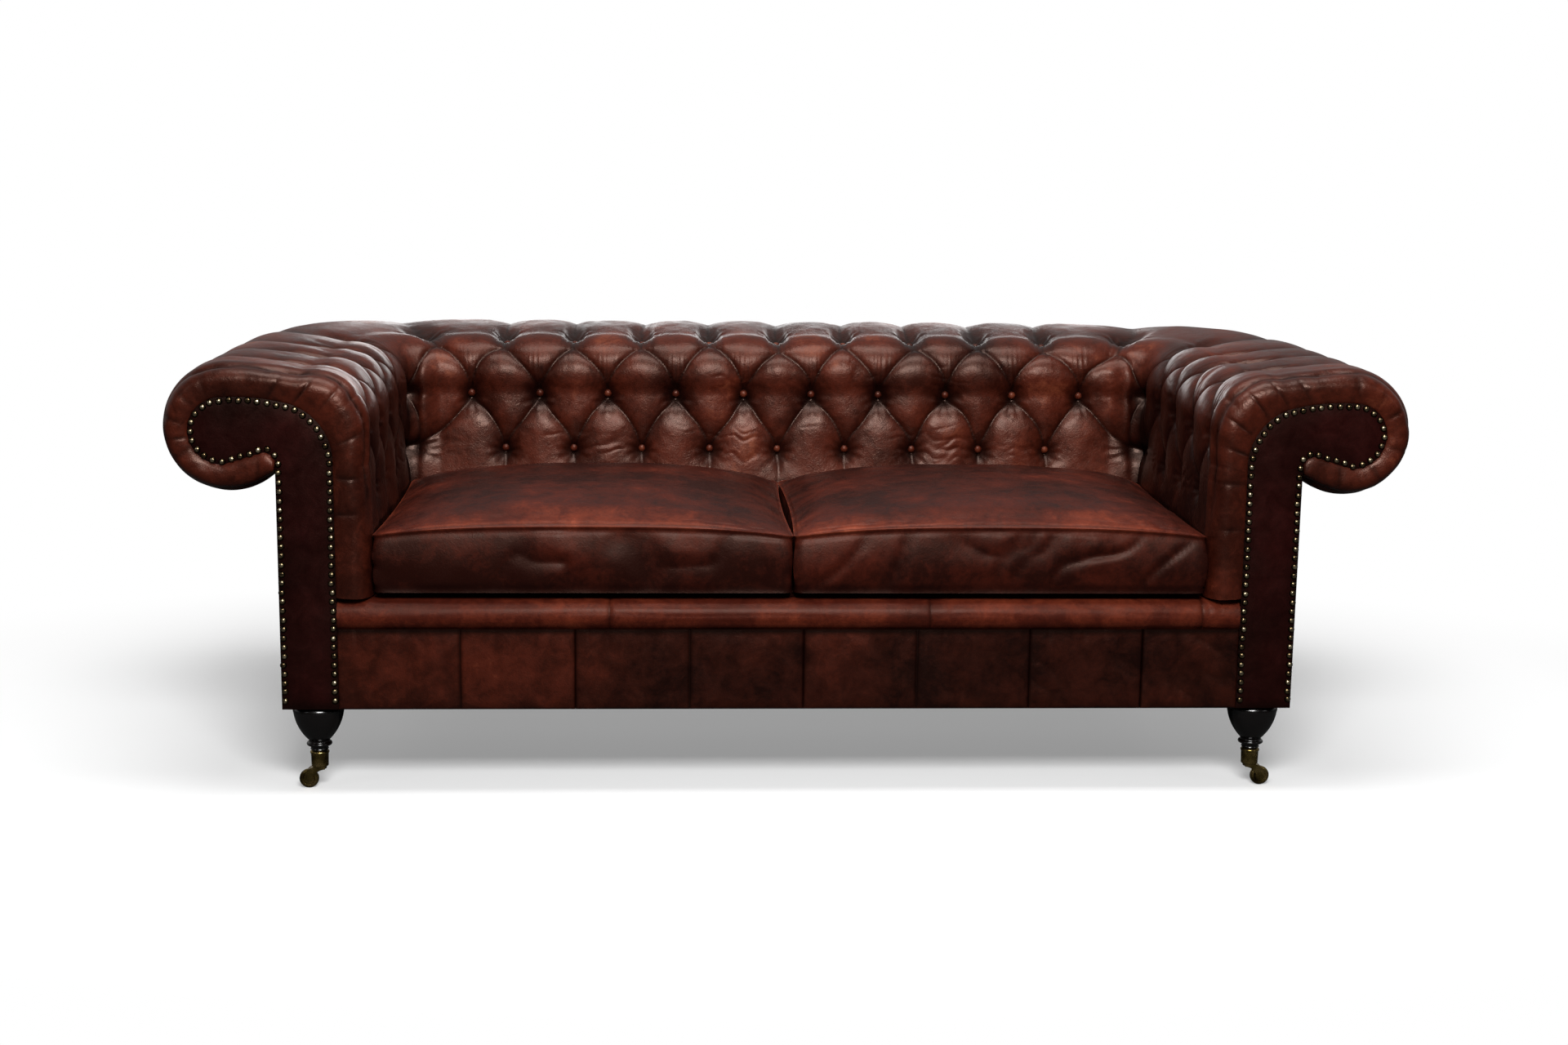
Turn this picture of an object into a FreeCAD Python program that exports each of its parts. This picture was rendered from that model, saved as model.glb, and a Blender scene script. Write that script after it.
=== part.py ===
import FreeCAD, Part
import math
import os
import Sketcher

from FreeCAD import Placement, Rotation, Vector

# Chesterfield sofa on castors, in millimetres. X runs to the right seen from the front, Y runs to
# the back and Z up. The origin lies on the floor under the middle of the overall box.

UP = Vector(0, 0, 1)
ACROSS = Vector(1, 0, 0)
BACKWARD = Vector(0, 1, 0)

doc = FreeCAD.newDocument("chesterfield_sofa")
sheet = doc.addObject("Spreadsheet::Sheet", "sizes")

DRIVING_SIZES = (
    ("seat_width", 1410, "between the inside arms"),
    ("seat_depth", 600, "from the arm facings to the inside back"),
    ("arm_height", 735, "floor to the top of the roll"),
    ("roll_radius", 109, "scroll of arms and back"),
    ("roll_reach", 233, "inside face to the centre of the scroll"),
    ("wall_reach", 153, "inside face to the outside wall"),
    ("knee_radius", 100, "bend of the inside cover into the roll"),
    ("knee_drop", 119, "top of the roll to the start of the knee"),
    ("crest_reach", 110, "inside face to the button row on the crest"),
    ("crest_drop", 13, "crest below the top of the roll"),
    ("corner_radius", 12, "inside corner between arm and back"),
    ("back_rake", 30, "lean of the inside back at the knee"),
    ("cover_thickness", 34, "tufted leather with its wadding"),
    ("tuft_pitch", 132, "between two buttons of a row"),
    ("tuft_depth", 22, "crown to button"),
    ("tuft_swell", 6, "crown above its own row line"),
    ("corner_gap", 45, "corner to the nearest crown"),
    ("lower_row", 504, "height of the lower button row"),
    ("button_diameter", 18, "leather-covered buttons"),
    ("button_height", 7, "dome of a button"),
    ("facing_thickness", 8, "padded arm facing"),
    ("post_thickness", 37, "scroll-shaped front post"),
    ("post_reach", 65, "inside face to the inner nail line"),
    ("head_radius", 50, "nail line round the scroll"),
    ("nail_inset", 6, "nail line to the facing's edge"),
    ("nail_diameter", 11, "domed nails"),
    ("nail_rise", 3.5, "nail dome"),
    ("nail_pitch", 15.5, "between nails"),
    ("underside", 150, "floor to the rails"),
    ("rail_depth", 134, "height of the seat rails"),
    ("board", 30, "thickness of the rails"),
    ("panel_thickness", 8, "outside covers"),
    ("lip_height", 53, "rolled front lip"),
    ("lip_length", 130, "lip from front to back"),
    ("leather", 4, "plain leather with its lining"),
    ("border_seam", 193, "width of one border panel"),
    ("border_start", -560, "first border seam from the middle"),
    ("deck_height", 350, "top of the deck under the cushions"),
    ("cushion_side", 95, "boxing of the seat cushions"),
    ("cushion_crown", 50, "crown above the boxing"),
    ("cushion_pull", 7, "sides drawn in between the corners"),
    ("cushion_gap", 0.8, "clearance round the cushions"),
    ("cushion_lift", 0.3, "deck to cushion"),
    ("spring_wire", 4, "serpentine springs"),
    ("spring_loop", 33, "pitch of the loops"),
    ("spring_sweep", 50, "width of the loops"),
    ("spring_spacing", 160, "between springs"),
    ("leg_diameter", 85, "bulb of the legs"),
    ("leg_inset", 50, "facing to the leg's axis"),
    ("leg_aside", 100, "inside face to the leg's axis"),
    ("leg_foot", 44, "bottom of the wood inside the cup"),
    ("cup_diameter", 30, "castor cup at its top"),
    ("cup_top", 66, "floor to the cup's rim"),
    ("cup_bottom", 38.5, "floor to the cup's underside"),
    ("stem_diameter", 7, "castor stem"),
    ("stem_clearance", 0.08, "round the stem and in the wheel's bore"),
    ("wheel_diameter", 33, "brass wheels"),
    ("wheel_width", 13, "brass wheels"),
    ("castor_trail", 19, "stem to axle"),
    ("axle_diameter", 4, "castor axle"),
    ("running_gap", 0.4, "beside the wheels"),
    ("bolt_diameter", 8, "hanger bolts of the legs"),
    ("dowel_diameter", 10, "frame dowels"),
    ("dowel_length", 60, "frame dowels"),
)


class Size(float):
    """A length together with the sheet formula that gives it."""

    def __new__(cls, value, formula):
        size = float.__new__(cls, value)
        size.formula = formula
        return size

    def __add__(self, other):
        return Size(float(self) + float(other), f"({self.formula} + {formula_of(other)})")

    def __radd__(self, other):
        return Size(float(other) + float(self), f"({formula_of(other)} + {self.formula})")

    def __sub__(self, other):
        return Size(float(self) - float(other), f"({self.formula} - {formula_of(other)})")

    def __rsub__(self, other):
        return Size(float(other) - float(self), f"({formula_of(other)} - {self.formula})")

    def __mul__(self, other):
        return Size(float(self) * float(other), f"({self.formula} * {formula_of(other)})")

    def __rmul__(self, other):
        return self * other

    def __truediv__(self, other):
        return Size(float(self) / float(other), f"({self.formula} / {formula_of(other)})")

    def __neg__(self):
        return Size(-float(self), f"(-{self.formula})")


def formula_of(value):
    return value.formula if isinstance(value, Size) else f"({float(value):.9g})"


for row, (alias, value, meaning) in enumerate(DRIVING_SIZES, start=1):
    sheet.set(f"A{row}", alias)
    sheet.set(f"B{row}", str(value))
    sheet.set(f"C{row}", meaning)
    sheet.setAlias(f"B{row}", alias)
doc.recompute()


def cell(alias):
    return Size(float(getattr(sheet, alias)), f"sizes.{alias}")


# Sizes that several pieces share
half_seat = cell("seat_width") / 2
facing = cell("facing_thickness")
board = cell("board")
underside = cell("underside")
rail_top = underside + cell("rail_depth")
roll_height = cell("arm_height") - cell("roll_radius")
knee_height = cell("arm_height") - cell("knee_drop")
crest_height = cell("arm_height") - cell("crest_drop")
wall = cell("wall_reach")
panel_inner = wall - cell("panel_thickness")
corner_radius = cell("corner_radius")
front = (cell("nail_rise") - cell("seat_depth") - cell("roll_reach") - cell("roll_radius")) / 2
post_back = front + facing + cell("post_thickness")
inside_back = front + cell("seat_depth")
rail_inner = panel_inner - board
web = cell("cover_thickness") + 54
top_rail_height = roll_height - cell("roll_radius") - 1
top_rail_depth = 50
stuffing_rail_depth = 40
post_inner = cell("post_reach") + 2
seam_height = cell("deck_height") + cell("cushion_side")
lip_top = underside + cell("rail_depth") + cell("lip_height")
cover_foot = lip_top + 1
facing_edge = half_seat + cell("post_reach") - cell("nail_inset")
leg_x = half_seat + cell("leg_aside")
bolt_foot = underside - 38
front_leg_y = front + cell("leg_inset")
back_leg_y = inside_back + wall - cell("leg_inset")
roll_turn = math.radians(96)
wall_turn = math.pi + math.acos(min(0.95, (cell("roll_reach") - wall - 2) / cell("roll_radius")))
nodes = []


# Plain makers

def keep(piece):
    """Marks an object of the document as one sub-part of the sofa."""
    piece.Label = piece.Name
    nodes.append(piece)
    return piece


def bind(piece, **formulas):
    """Ties properties to sheet formulas; x, y and z are the placement's base."""
    for name, size in formulas.items():
        path = f".Placement.Base.{name}" if name in ("x", "y", "z") else name
        piece.setExpression(path, formula_of(size))
    return piece


def block(name, start, lengths):
    """A board from its lowest corner and its three lengths."""
    piece = doc.addObject("Part::Box", name)
    bind(piece, x=start[0], y=start[1], z=start[2])
    return bind(piece, Length=lengths[0], Width=lengths[1], Height=lengths[2])


def rod(name, start, direction, diameter, length):
    """A round rod from its start point along a direction."""
    piece = doc.addObject("Part::Cylinder", name)
    piece.Placement.Rotation = Rotation(UP, direction)
    bind(piece, x=start[0], y=start[1], z=start[2])
    return bind(piece, Radius=diameter / 2, Height=length)


def group(name, pieces):
    together = doc.addObject("Part::Compound", name)
    together.Links = pieces
    return together


def cut(name, base, tool):
    piece = doc.addObject("Part::Cut", name)
    piece.Base = base
    piece.Tool = tool
    return piece


def mirrored(name, source):
    """The same piece on the other side of the middle plane."""
    piece = doc.addObject("Part::Mirroring", name)
    piece.Source = source
    piece.Normal = ACROSS
    return piece


def solid_piece(name, shape):
    piece = doc.addObject("Part::Feature", name)
    piece.Shape = shape
    return piece


def both_sides(name, make):
    """A right-hand piece and its mirror image, each its own sub-part."""
    right = keep(make(f"{name}_right"))
    keep(mirrored(f"{name}_left", right))
    return right


def pair(name, make):
    """A right-hand piece and its mirror image in one sub-part."""
    right = make(f"{name}_right")
    return keep(group(name, [right, mirrored(f"{name}_left", right)]))


# Sketched pieces

def ccw_arc(first, middle, last):
    """Arc through three points in the sketch plane, and whether it starts at the first of them."""
    circle = Part.Arc(Vector(*first), Vector(*middle), Vector(*last)).toShape().Curve
    centre = circle.Center
    turn = (middle[0] - first[0]) * (last[1] - middle[1]) - (middle[1] - first[1]) * (last[0] - middle[0])
    begin, finish = (first, last) if turn > 0 else (last, first)
    angles = [math.atan2(y - centre.y, x - centre.x) for x, y in (begin, finish)]
    if angles[1] < angles[0]:
        angles[1] += 2 * math.pi
    arc = Part.ArcOfCircle(Part.Circle(centre, UP, circle.Radius), angles[0], angles[1])
    return arc, turn > 0


def sketch_on(body, name, role, corners, bends):
    """Closed outline through the corners; bends gives the middle point of each side that is an arc."""
    plane = next(item for item in body.Origin.OriginFeatures if item.Role == role)
    sketch = body.newObject("Sketcher::SketchObject", name)
    sketch.AttachmentSupport = [(plane, "")]
    sketch.MapMode = "FlatFace"
    starts = []
    ends = []
    for side, first in enumerate(corners):
        last = corners[(side + 1) % len(corners)]
        flat = [(float(x), float(y)) for x, y in (first, last)]
        forward = True
        if side in bends:
            middle = tuple(float(number) for number in bends[side])
            geometry, forward = ccw_arc(flat[0], middle, flat[1])
        else:
            geometry = Part.LineSegment(Vector(*flat[0]), Vector(*flat[1]))
        index = sketch.addGeometry(geometry, False)
        starts.append((index, 1 if forward else 2))
        ends.append((index, 2 if forward else 1))
        if side in bends:
            sketch.addConstraint(Sketcher.Constraint("Radius", index, geometry.Radius))
    pin_corners(sketch, corners, starts, ends)
    return sketch


def pin_corners(sketch, corners, starts, ends):
    """Joins the sides at the corners and ties each corner's two coordinates to the sheet."""
    for side, (x, y) in enumerate(corners):
        sketch.addConstraint(Sketcher.Constraint("Coincident", *ends[side - 1], *starts[side]))
        for kind, axis, size in (("DistanceX", -2, x), ("DistanceY", -1, y)):
            if abs(float(size)) < 1e-9:
                sketch.addConstraint(Sketcher.Constraint("PointOnObject", *starts[side], axis))
                continue
            number = sketch.addConstraint(Sketcher.Constraint(kind, -1, 1, *starts[side], float(size)))
            if isinstance(size, Size):
                sketch.setExpression(f"Constraints[{number}]", size.formula)


def turned(name, corners, bends, place):
    """A lathe-turned piece: its half outline (radius, height) turned about its own Z axis."""
    body = doc.addObject("PartDesign::Body", name)
    sketch = sketch_on(body, f"{name}_outline", "XZ_Plane", corners, bends)
    turning = body.newObject("PartDesign::Revolution", f"{name}_turning")
    turning.Profile = sketch
    turning.ReferenceAxis = (sketch, ["V_Axis"])
    turning.Angle = 360
    body.Tip = turning
    return bind(body, x=place[0], y=place[1], z=place[2])


def sawn(name, corners, bends, thickness, place):
    """A board sawn to an upright outline (across, height); it runs back from its place."""
    body = doc.addObject("PartDesign::Body", name)
    sketch = sketch_on(body, f"{name}_outline", "XZ_Plane", corners, bends)
    pad = body.newObject("PartDesign::Pad", f"{name}_pad")
    pad.Profile = sketch
    pad.setExpression("Length", formula_of(thickness))
    pad.Reversed = True
    body.Tip = pad
    return bind(body, x=place[0], y=place[1], z=place[2])


# Profile of the rolled arms and back: u is the distance from the inside face, outwards

def on_circle(radius, angle):
    return (cell("roll_reach") + radius * math.cos(angle), roll_height + radius * math.sin(angle))


def profile(inset, sinks=(0, 0, 0), swell=0, rake=0):
    """Seven arcs from the cover's foot up over the knee, the crest and round the scroll.

    Each entry is (end point, middle point of the arc that leads to it); the first has no middle.
    sinks says how far the two button rows and the crest row are drawn in, from 0 to 1.
    """
    depth = float(cell("tuft_depth"))
    low, high, crest = (sink * depth for sink in sinks)
    radius = float(cell("roll_radius")) - inset
    lean = [rake * (z - 400) / 220 for z in (cover_foot, cell("lower_row"), knee_height)]
    knee = float(cell("knee_radius"))
    foot_z, row_z, knee_z = float(cover_foot), float(cell("lower_row")), float(knee_height)
    crest_z = float(crest_height)
    crest_u = float(cell("crest_reach"))
    foot = (inset + lean[0], foot_z)
    row = (inset + swell + low + lean[1], row_z)
    bend = (inset + swell + high + lean[2], knee_z - 0.3 * high)
    over = (crest_u, crest_z - inset - swell - crest)
    diagonal = math.sqrt(0.5)
    shrink = inset + 0.25 * (high + crest)
    corner_u = knee * (1 - diagonal) + shrink * diagonal + 0.6 * lean[2]
    corner_z = crest_z - knee + (knee + 6) * diagonal - shrink * diagonal
    top = on_circle(radius, roll_turn)
    side = on_circle(radius, 0)
    bottom = on_circle(radius, -math.pi / 2)
    finish = on_circle(radius, wall_turn)
    middle_low = (inset + 0.25 * low + (lean[0] + lean[1]) / 2, (foot_z + row_z) / 2)
    middle_high = (inset + 0.25 * (low + high) + (lean[1] + lean[2]) / 2, (row_z + knee_z) / 2)
    middle_top = ((crest_u + top[0]) / 2, (crest_z - inset + top[1]) / 2 + 2 - 0.25 * crest)
    turns = [(roll_turn / 2), (-math.pi / 4), ((wall_turn - 2 * math.pi) / 2 - math.pi / 4)]
    return [
        (foot, None),
        (row, middle_low),
        (bend, middle_high),
        (over, (corner_u, corner_z)),
        (top, middle_top),
        (side, on_circle(radius, turns[0])),
        (bottom, on_circle(radius, turns[1])),
        (finish, on_circle(radius, turns[2])),
    ]


def arcs_through(points, place):
    """Edges through the (end, middle) points; place turns (u, z) into a position."""
    edges = []
    for (first, _), (last, middle) in zip(points, points[1:]):
        start, via, end = place(*first), place(*middle), place(*last)
        straight = via.distanceToLine(start, end - start) < 0.01
        curve = Part.LineSegment(start, end) if straight else Part.Arc(start, via, end)
        edges.append(curve.toShape())
    return edges


def back_along(points):
    """The same arcs followed the other way round."""
    ends = [end for end, _ in points][::-1]
    middles = [middle for _, middle in points[1:]][::-1]
    return list(zip(ends, [None] + middles))


def closed(edges, straight_ends):
    """One wire: the edges, joined by straight lines where straight_ends names two points."""
    lines = [Part.LineSegment(first, last).toShape() for first, last in straight_ends]
    return Part.Wire(Part.__sortEdges__(edges + lines))


def cover_section(place, sinks, rake):
    """Closed section of the tufted cover: its face outside, the foam's face inside."""
    swell = float(cell("tuft_swell"))
    outer = profile(0, sinks, swell, rake)
    inner = back_along(profile(float(cell("cover_thickness")), (0, 0, 0), 0, rake))
    ends = ((outer[-1][0], inner[0][0]), (inner[-1][0], outer[0][0]))
    lines = [(place(*first), place(*last)) for first, last in ends]
    return closed(arcs_through(outer, place) + arcs_through(inner, place), lines)


def foam_section(place, rake):
    """Closed section of the foam between the cover, the webbing plane and the top rail."""
    face = profile(float(cell("cover_thickness")) + FOAM_CLEARANCE, (0, 0, 0), 0, rake)
    tail = face[-1][0]
    corners = [
        tail,
        (float(panel_inner), tail[1] - 12),
        (float(panel_inner), float(top_rail_height)),
        (float(web), float(top_rail_height)),
        (float(web), float(cover_foot)),
        face[0][0],
    ]
    lines = [(place(*first), place(*last)) for first, last in zip(corners, corners[1:])]
    return closed(arcs_through(face, place), lines)


def along_arm(station):
    """Turns (u, z) of the right arm into a position; the station runs forward from the corner."""
    y = float(inside_back - corner_radius) - station
    return lambda u, z: Vector(float(half_seat + u), y, float(z))


def along_back(station):
    """Turns (u, z) of the back into a position; the station runs to the right from the middle."""
    return lambda u, z: Vector(station, float(inside_back + u), float(z))


FOAM_CLEARANCE = 0.25
CORNER_SINKS = (0.7, 0.7, 0)
PLAIN_SINKS = (0, 0, 0)
LOWER_SINKS = (1, 0, 1)
UPPER_SINKS = (0, 1, 0)


def corner_turn(section, quarter, sense):
    """Half of the corner: the section turned 45 degrees about the inside corner's axis."""
    face = Part.Face(section)
    axis = Vector(quarter * float(half_seat - corner_radius), float(inside_back - corner_radius), 0)
    return face.revolve(axis, UP * sense, 45)


def button_stations_arm():
    """(station, sinks) of the arm's tuft lines, from the corner forward."""
    half_pitch = float(cell("tuft_pitch")) / 2
    length = float(cell("seat_depth") - corner_radius - facing - cell("post_thickness"))
    count = int((length - float(cell("corner_gap")) - half_pitch / 2) // half_pitch)
    first = float(cell("corner_gap")) + half_pitch
    lines = [(first + step * half_pitch, (UPPER_SINKS, LOWER_SINKS)[step % 2]) for step in range(count)]
    return lines, length


def button_stations_back():
    """(station, sinks) of the back's tuft lines, from the middle outwards on one side."""
    half_pitch = float(cell("tuft_pitch")) / 2
    reach = float(half_seat - corner_radius - cell("corner_gap"))
    count = int((reach - half_pitch / 2) // half_pitch) + 1
    return [(step * half_pitch, (LOWER_SINKS, UPPER_SINKS)[step % 2]) for step in range(count)]


def button_rows(sinks, rake):
    """Seat of each button on a tuft line: its point in the profile and its outward direction."""
    swell = float(cell("tuft_swell"))
    points = profile(0, sinks, swell, rake)
    rows = []
    if sinks[0]:
        rows.append((points[1][0], (-1, 0)))
        rows.append((points[3][0], (0, 1)))
    if sinks[1]:
        rows.append((points[2][0], (-1, 0)))
    return rows


def dome(diameter, rise):
    """A flat-bottomed dome on the origin: the cap of a sphere of that rise."""
    radius = diameter / 2
    sphere = (radius ** 2 + rise ** 2) / (2 * rise)
    ball = Part.makeSphere(sphere, Vector(0, 0, rise - sphere))
    return ball.common(Part.makeCylinder(radius, rise))


def facing_out(shape, foot, outward):
    """A copy of a shape made along Z, turned to point outward from its foot."""
    copy = shape.copy()
    copy.Placement = Placement(foot, Rotation(UP, outward))
    return copy


def button_shapes(seats):
    """Domed buttons and the pockets that seat them, from (foot, outward direction) pairs."""
    diameter = float(cell("button_diameter"))
    button = dome(diameter, float(cell("button_height")))
    pocket = Part.makeCylinder(diameter / 2 + 0.3, 40)
    feet = [(foot - outward * 2.5, outward) for foot, outward in seats]
    buttons = [facing_out(button, foot, outward) for foot, outward in feet]
    pockets = [facing_out(pocket, foot, outward) for foot, outward in feet]
    return buttons, pockets


def arm_button_seats():
    lines, _ = button_stations_arm()
    seats = []
    for station, sinks in lines:
        for (u, z), (du, dz) in button_rows(sinks, 0):
            place = along_arm(station)
            seats.append((place(u, z), Vector(du, 0, dz)))
    return seats


def back_button_seats():
    seats = []
    for station, sinks in button_stations_back():
        for side in ((1,) if station == 0 else (1, -1)):
            for (u, z), (du, dz) in button_rows(sinks, float(cell("back_rake"))):
                seats.append((along_back(side * station)(u, z), Vector(0, du, dz)))
    return seats


# Scroll outline of the arm facing

def scroll_outline(grow):
    """Corners and bends of the facing's outline; grow widens it past the nail line."""
    inner = cell("post_reach") - grow
    outer = wall - cell("nail_inset") + grow
    radius = cell("head_radius") + grow
    reach = cell("roll_reach") + 5
    head = roll_height - 4
    knee = (inner, knee_height - 55)
    brow = (cell("post_reach") + 58, head + radius - 12)
    crown = (reach, head + radius)
    tip = (reach + radius, head)
    chin = (reach, head - radius)
    neck = (wall + 17, head - radius + 21)
    turn = (outer, head - radius - 1)
    corners = [(inner, underside), knee, brow, crown, tip, chin, neck, turn, (outer, underside)]
    diagonal = math.sqrt(0.5)
    bends = {
        1: (inner + 17, knee_height + 8 + grow * 0.7),
        2: (cell("post_reach") + 115, head + radius - 1),
        3: (reach + radius * diagonal, head + radius * diagonal),
        4: (reach + radius * diagonal, head - radius * diagonal),
        6: (outer + 6, head - radius + 13),
    }
    return corners, bends


def scroll_board(name, grow, thickness, y):
    corners, bends = scroll_outline(grow)
    return sawn(name, corners, bends, thickness, (half_seat, y, 0))


# Wooden frame

def frame_dowels():
    """Dowels of the seat frame's joints, right side first."""
    length = cell("dowel_length")
    thick = cell("dowel_diameter")
    heights = (underside + 32, rail_top - 32)
    pins = []
    for side in (1, -1):
        for level, z in enumerate(heights):
            tag = f"{'right' if side > 0 else 'left'}_{level}"
            across = (half_seat + post_inner) * side - length / 2
            pins.append(rod(f"front_dowel_{tag}", (across, post_back - board / 2, z), ACROSS, thick, length))
            x = (half_seat + rail_inner + board / 2) * side
            pins.append(rod(f"side_dowel_{tag}", (x, post_back - 25, z), BACKWARD, thick, length))
            y = inside_back + rail_inner + board / 2
            across = (half_seat + rail_inner - 2) * side - length / 2
            pins.append(rod(f"back_dowel_{tag}", (across, y, z), ACROSS, thick, length))
    return keep(group("frame_dowels", pins))


dowels = frame_dowels()


def doweled(name, base):
    return cut(name, base, dowels)


def seat_frame():
    """Rails of the seat, its corner blocks and the hanger bolts that hold the legs."""
    front_rail = block(
        "front_rail_board",
        (-(half_seat + post_inner), post_back - board, underside),
        (2 * (half_seat + post_inner), board, cell("rail_depth")),
    )
    keep(doweled("seat_front_rail", front_rail))
    back_rail = block(
        "back_rail_board",
        (-(half_seat + rail_inner), inside_back + rail_inner, underside),
        (2 * (half_seat + rail_inner), board, cell("rail_depth")),
    )
    keep(doweled("seat_back_rail", back_rail))
    side_length = inside_back + panel_inner - post_back

    def side_rail(name):
        start = (half_seat + rail_inner, post_back, underside)
        return doweled(name, block(f"{name}_board", start, (board, side_length, cell("rail_depth"))))

    pair("seat_side_rails", side_rail)
    keep(block(
        "seat_centre_rail",
        (-board / 2, post_back, underside),
        (board, inside_back + rail_inner - post_back, 60),
    ))
    block_size = 72
    block_height = 40
    bolt_length = underside + block_height - 2 - bolt_foot
    ends = (("front", post_back, front_leg_y), ("back", inside_back + rail_inner - block_size, back_leg_y))
    bolts = []
    blocks = []
    for side in (1, -1):
        for end, block_y, leg_y in ends:
            tag = f"{end}_{'right' if side > 0 else 'left'}"
            bolt_start = (leg_x * side, leg_y, bolt_foot)
            bolts.append(rod(f"bolt_{tag}", bolt_start, UP, cell("bolt_diameter"), bolt_length))
            block_x = half_seat + rail_inner - block_size if side > 0 else -(half_seat + rail_inner)
            start = (block_x, block_y, underside)
            blocks.append(block(f"corner_block_{tag}", start, (block_size, block_size, block_height)))
    hangers = keep(group("leg_bolts", bolts))
    keep(cut("corner_blocks", group("corner_block_stock", blocks), hangers))
    sheet_edge = half_seat + panel_inner
    cloth = block(
        "dust_cover_cloth",
        (-sheet_edge, front + facing, underside - 1),
        (2 * sheet_edge, inside_back + panel_inner - front - facing, 1),
    )
    keep(cut("dust_cover", cloth, hangers))


def upper_frame():
    """Posts and rails that carry the arms and the back."""
    rail_foot = top_rail_height - top_rail_depth
    corner = inside_back + web
    arm_length = corner - post_back

    def arm_top(name):
        start = (half_seat + web, post_back, rail_foot)
        return block(name, start, (panel_inner - web, arm_length, top_rail_depth))

    def arm_stuffing(name):
        start = (half_seat + web, post_back, cover_foot)
        return block(name, start, (rail_inner - web, arm_length, stuffing_rail_depth))

    def corner_post(name):
        width = panel_inner - web
        return block(name, (half_seat + web, corner, rail_top), (width, width, top_rail_height - rail_top))

    def arm_post(name):
        start = (half_seat + rail_inner, (post_back + corner) / 2 - 30, rail_top)
        return block(name, start, (board, 60, rail_foot - rail_top))

    pair("arm_top_rails", arm_top)
    pair("arm_stuffing_rails", arm_stuffing)
    pair("rear_corner_posts", corner_post)
    pair("arm_posts", arm_post)
    keep(block(
        "back_top_rail",
        (-(half_seat + web), corner, rail_foot),
        (2 * (half_seat + web), panel_inner - web, top_rail_depth),
    ))
    keep(block(
        "back_stuffing_rail",
        (-(half_seat + web), corner, cover_foot),
        (2 * (half_seat + web), rail_inner - web, stuffing_rail_depth),
    ))
    uprights = []
    for index, side in enumerate((-1, 1)):
        start = (cell("spring_spacing") * 2 * side - 30, inside_back + rail_inner, rail_top)
        uprights.append(block(f"back_upright_{index}", start, (60, board, rail_foot - rail_top)))
    keep(group("back_posts", uprights))
    stock = scroll_board("front_post_stock", -2, cell("post_thickness"), front + facing)
    right = keep(doweled("arm_front_post_right", stock))
    keep(mirrored("arm_front_post_left", right))


# Springs, deck and padding

def spring_path(x, start, loops):
    """Serpentine wire in the level plane: straight sweeps joined by half circles."""
    radius = float(cell("spring_loop")) / 2
    sweep = float(cell("spring_sweep")) / 2 - radius
    level = float(rail_top) + 4
    edges = []
    y = start
    side = -1
    for _ in range(loops):
        here = Vector(x + side * sweep, y, level)
        there = Vector(x - side * sweep, y, level)
        edges.append(Part.LineSegment(here, there).toShape())
        bend = Vector(there.x - side * radius, y + radius, level)
        beyond = Vector(there.x, y + 2 * radius, level)
        edges.append(Part.Arc(there, bend, beyond).toShape())
        y += 2 * radius
        side = -side
    here = Vector(x + side * sweep, y, level)
    there = Vector(x - side * sweep, y, level)
    edges.append(Part.LineSegment(here, there).toShape())
    return Part.Wire(edges)


def seat_springs():
    """Springs between the front and back rails, and the clips that hold their ends."""
    wire = float(cell("spring_wire")) / 2
    spacing = float(cell("spring_spacing"))
    pitch = float(cell("spring_loop"))
    start = float(post_back) + 8
    room = float(inside_back + rail_inner) - 8 - start
    loops = int(room // pitch)
    start += (room - loops * pitch) / 2
    count = int((float(half_seat) - 60) // spacing)
    columns = [(column - 0.5) * spacing for column in range(1 - count, count + 1)]
    springs = []
    clips = []
    level = float(rail_top) + 4
    for x in columns:
        path = spring_path(x, start, loops)
        first = path.OrderedVertexes[0].Point
        circle = Part.Wire(Part.makeCircle(wire, first, ACROSS))
        springs.append(path.makePipeShell([circle], True, False))
        end = start + loops * pitch
        for y, edge in ((start, float(post_back)), (end, float(inside_back + rail_inner))):
            clips.append(spring_clip(x, y, edge, level, wire))
    solid_group("seat_springs", springs)
    solid_group("spring_clips", clips)


def spring_clip(x, y, edge, level, wire):
    """A clip on the rail's top with a round seat for the end of the wire."""
    towards = 1 if edge > y else -1
    width = 18
    lip = y - towards * 5
    screw_end = edge + towards * 12
    low = Vector(x - width / 2, min(lip, screw_end), float(rail_top))
    plate = Part.makeBox(width, abs(screw_end - lip), level - float(rail_top) + wire + 2, low)
    groove = Part.makeCylinder(wire + 0.05, 2 * width, Vector(x - width, y, level), ACROSS)
    return plate.cut(groove)


def solid_group(name, shapes):
    return keep(solid_piece(name, Part.makeCompound(shapes)))


def seat_deck():
    """Deck pad on the springs and the cloth over it, up to the lip in front."""
    start_y = front + cell("lip_length")
    width = 2 * half_seat - 2
    length = inside_back - 9 - start_y
    foot = rail_top + 4 + cell("spring_wire") / 2
    cloth = 3
    pad_height = cell("deck_height") - cloth - foot
    keep(block("deck_pad", (-width / 2, start_y, foot), (width, length, pad_height)))
    keep(block("deck_cover", (-width / 2, start_y, foot + pad_height), (width, length, cloth)))


def lip_profile(inset):
    """Lip from the border's top edge over its round nose to the deck: corners and the nose's middle."""
    low = Vector(0, float(front) + 15 + inset, float(rail_top))
    nose = Vector(0, float(front) + 1 + inset, float(rail_top) + 0.45 * float(cell("lip_height")))
    top = Vector(0, float(front) + 30, float(lip_top) - inset)
    end = Vector(0, float(front + cell("lip_length")) - 0.01, float(lip_top) - inset)
    return low, nose, top, end


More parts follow.
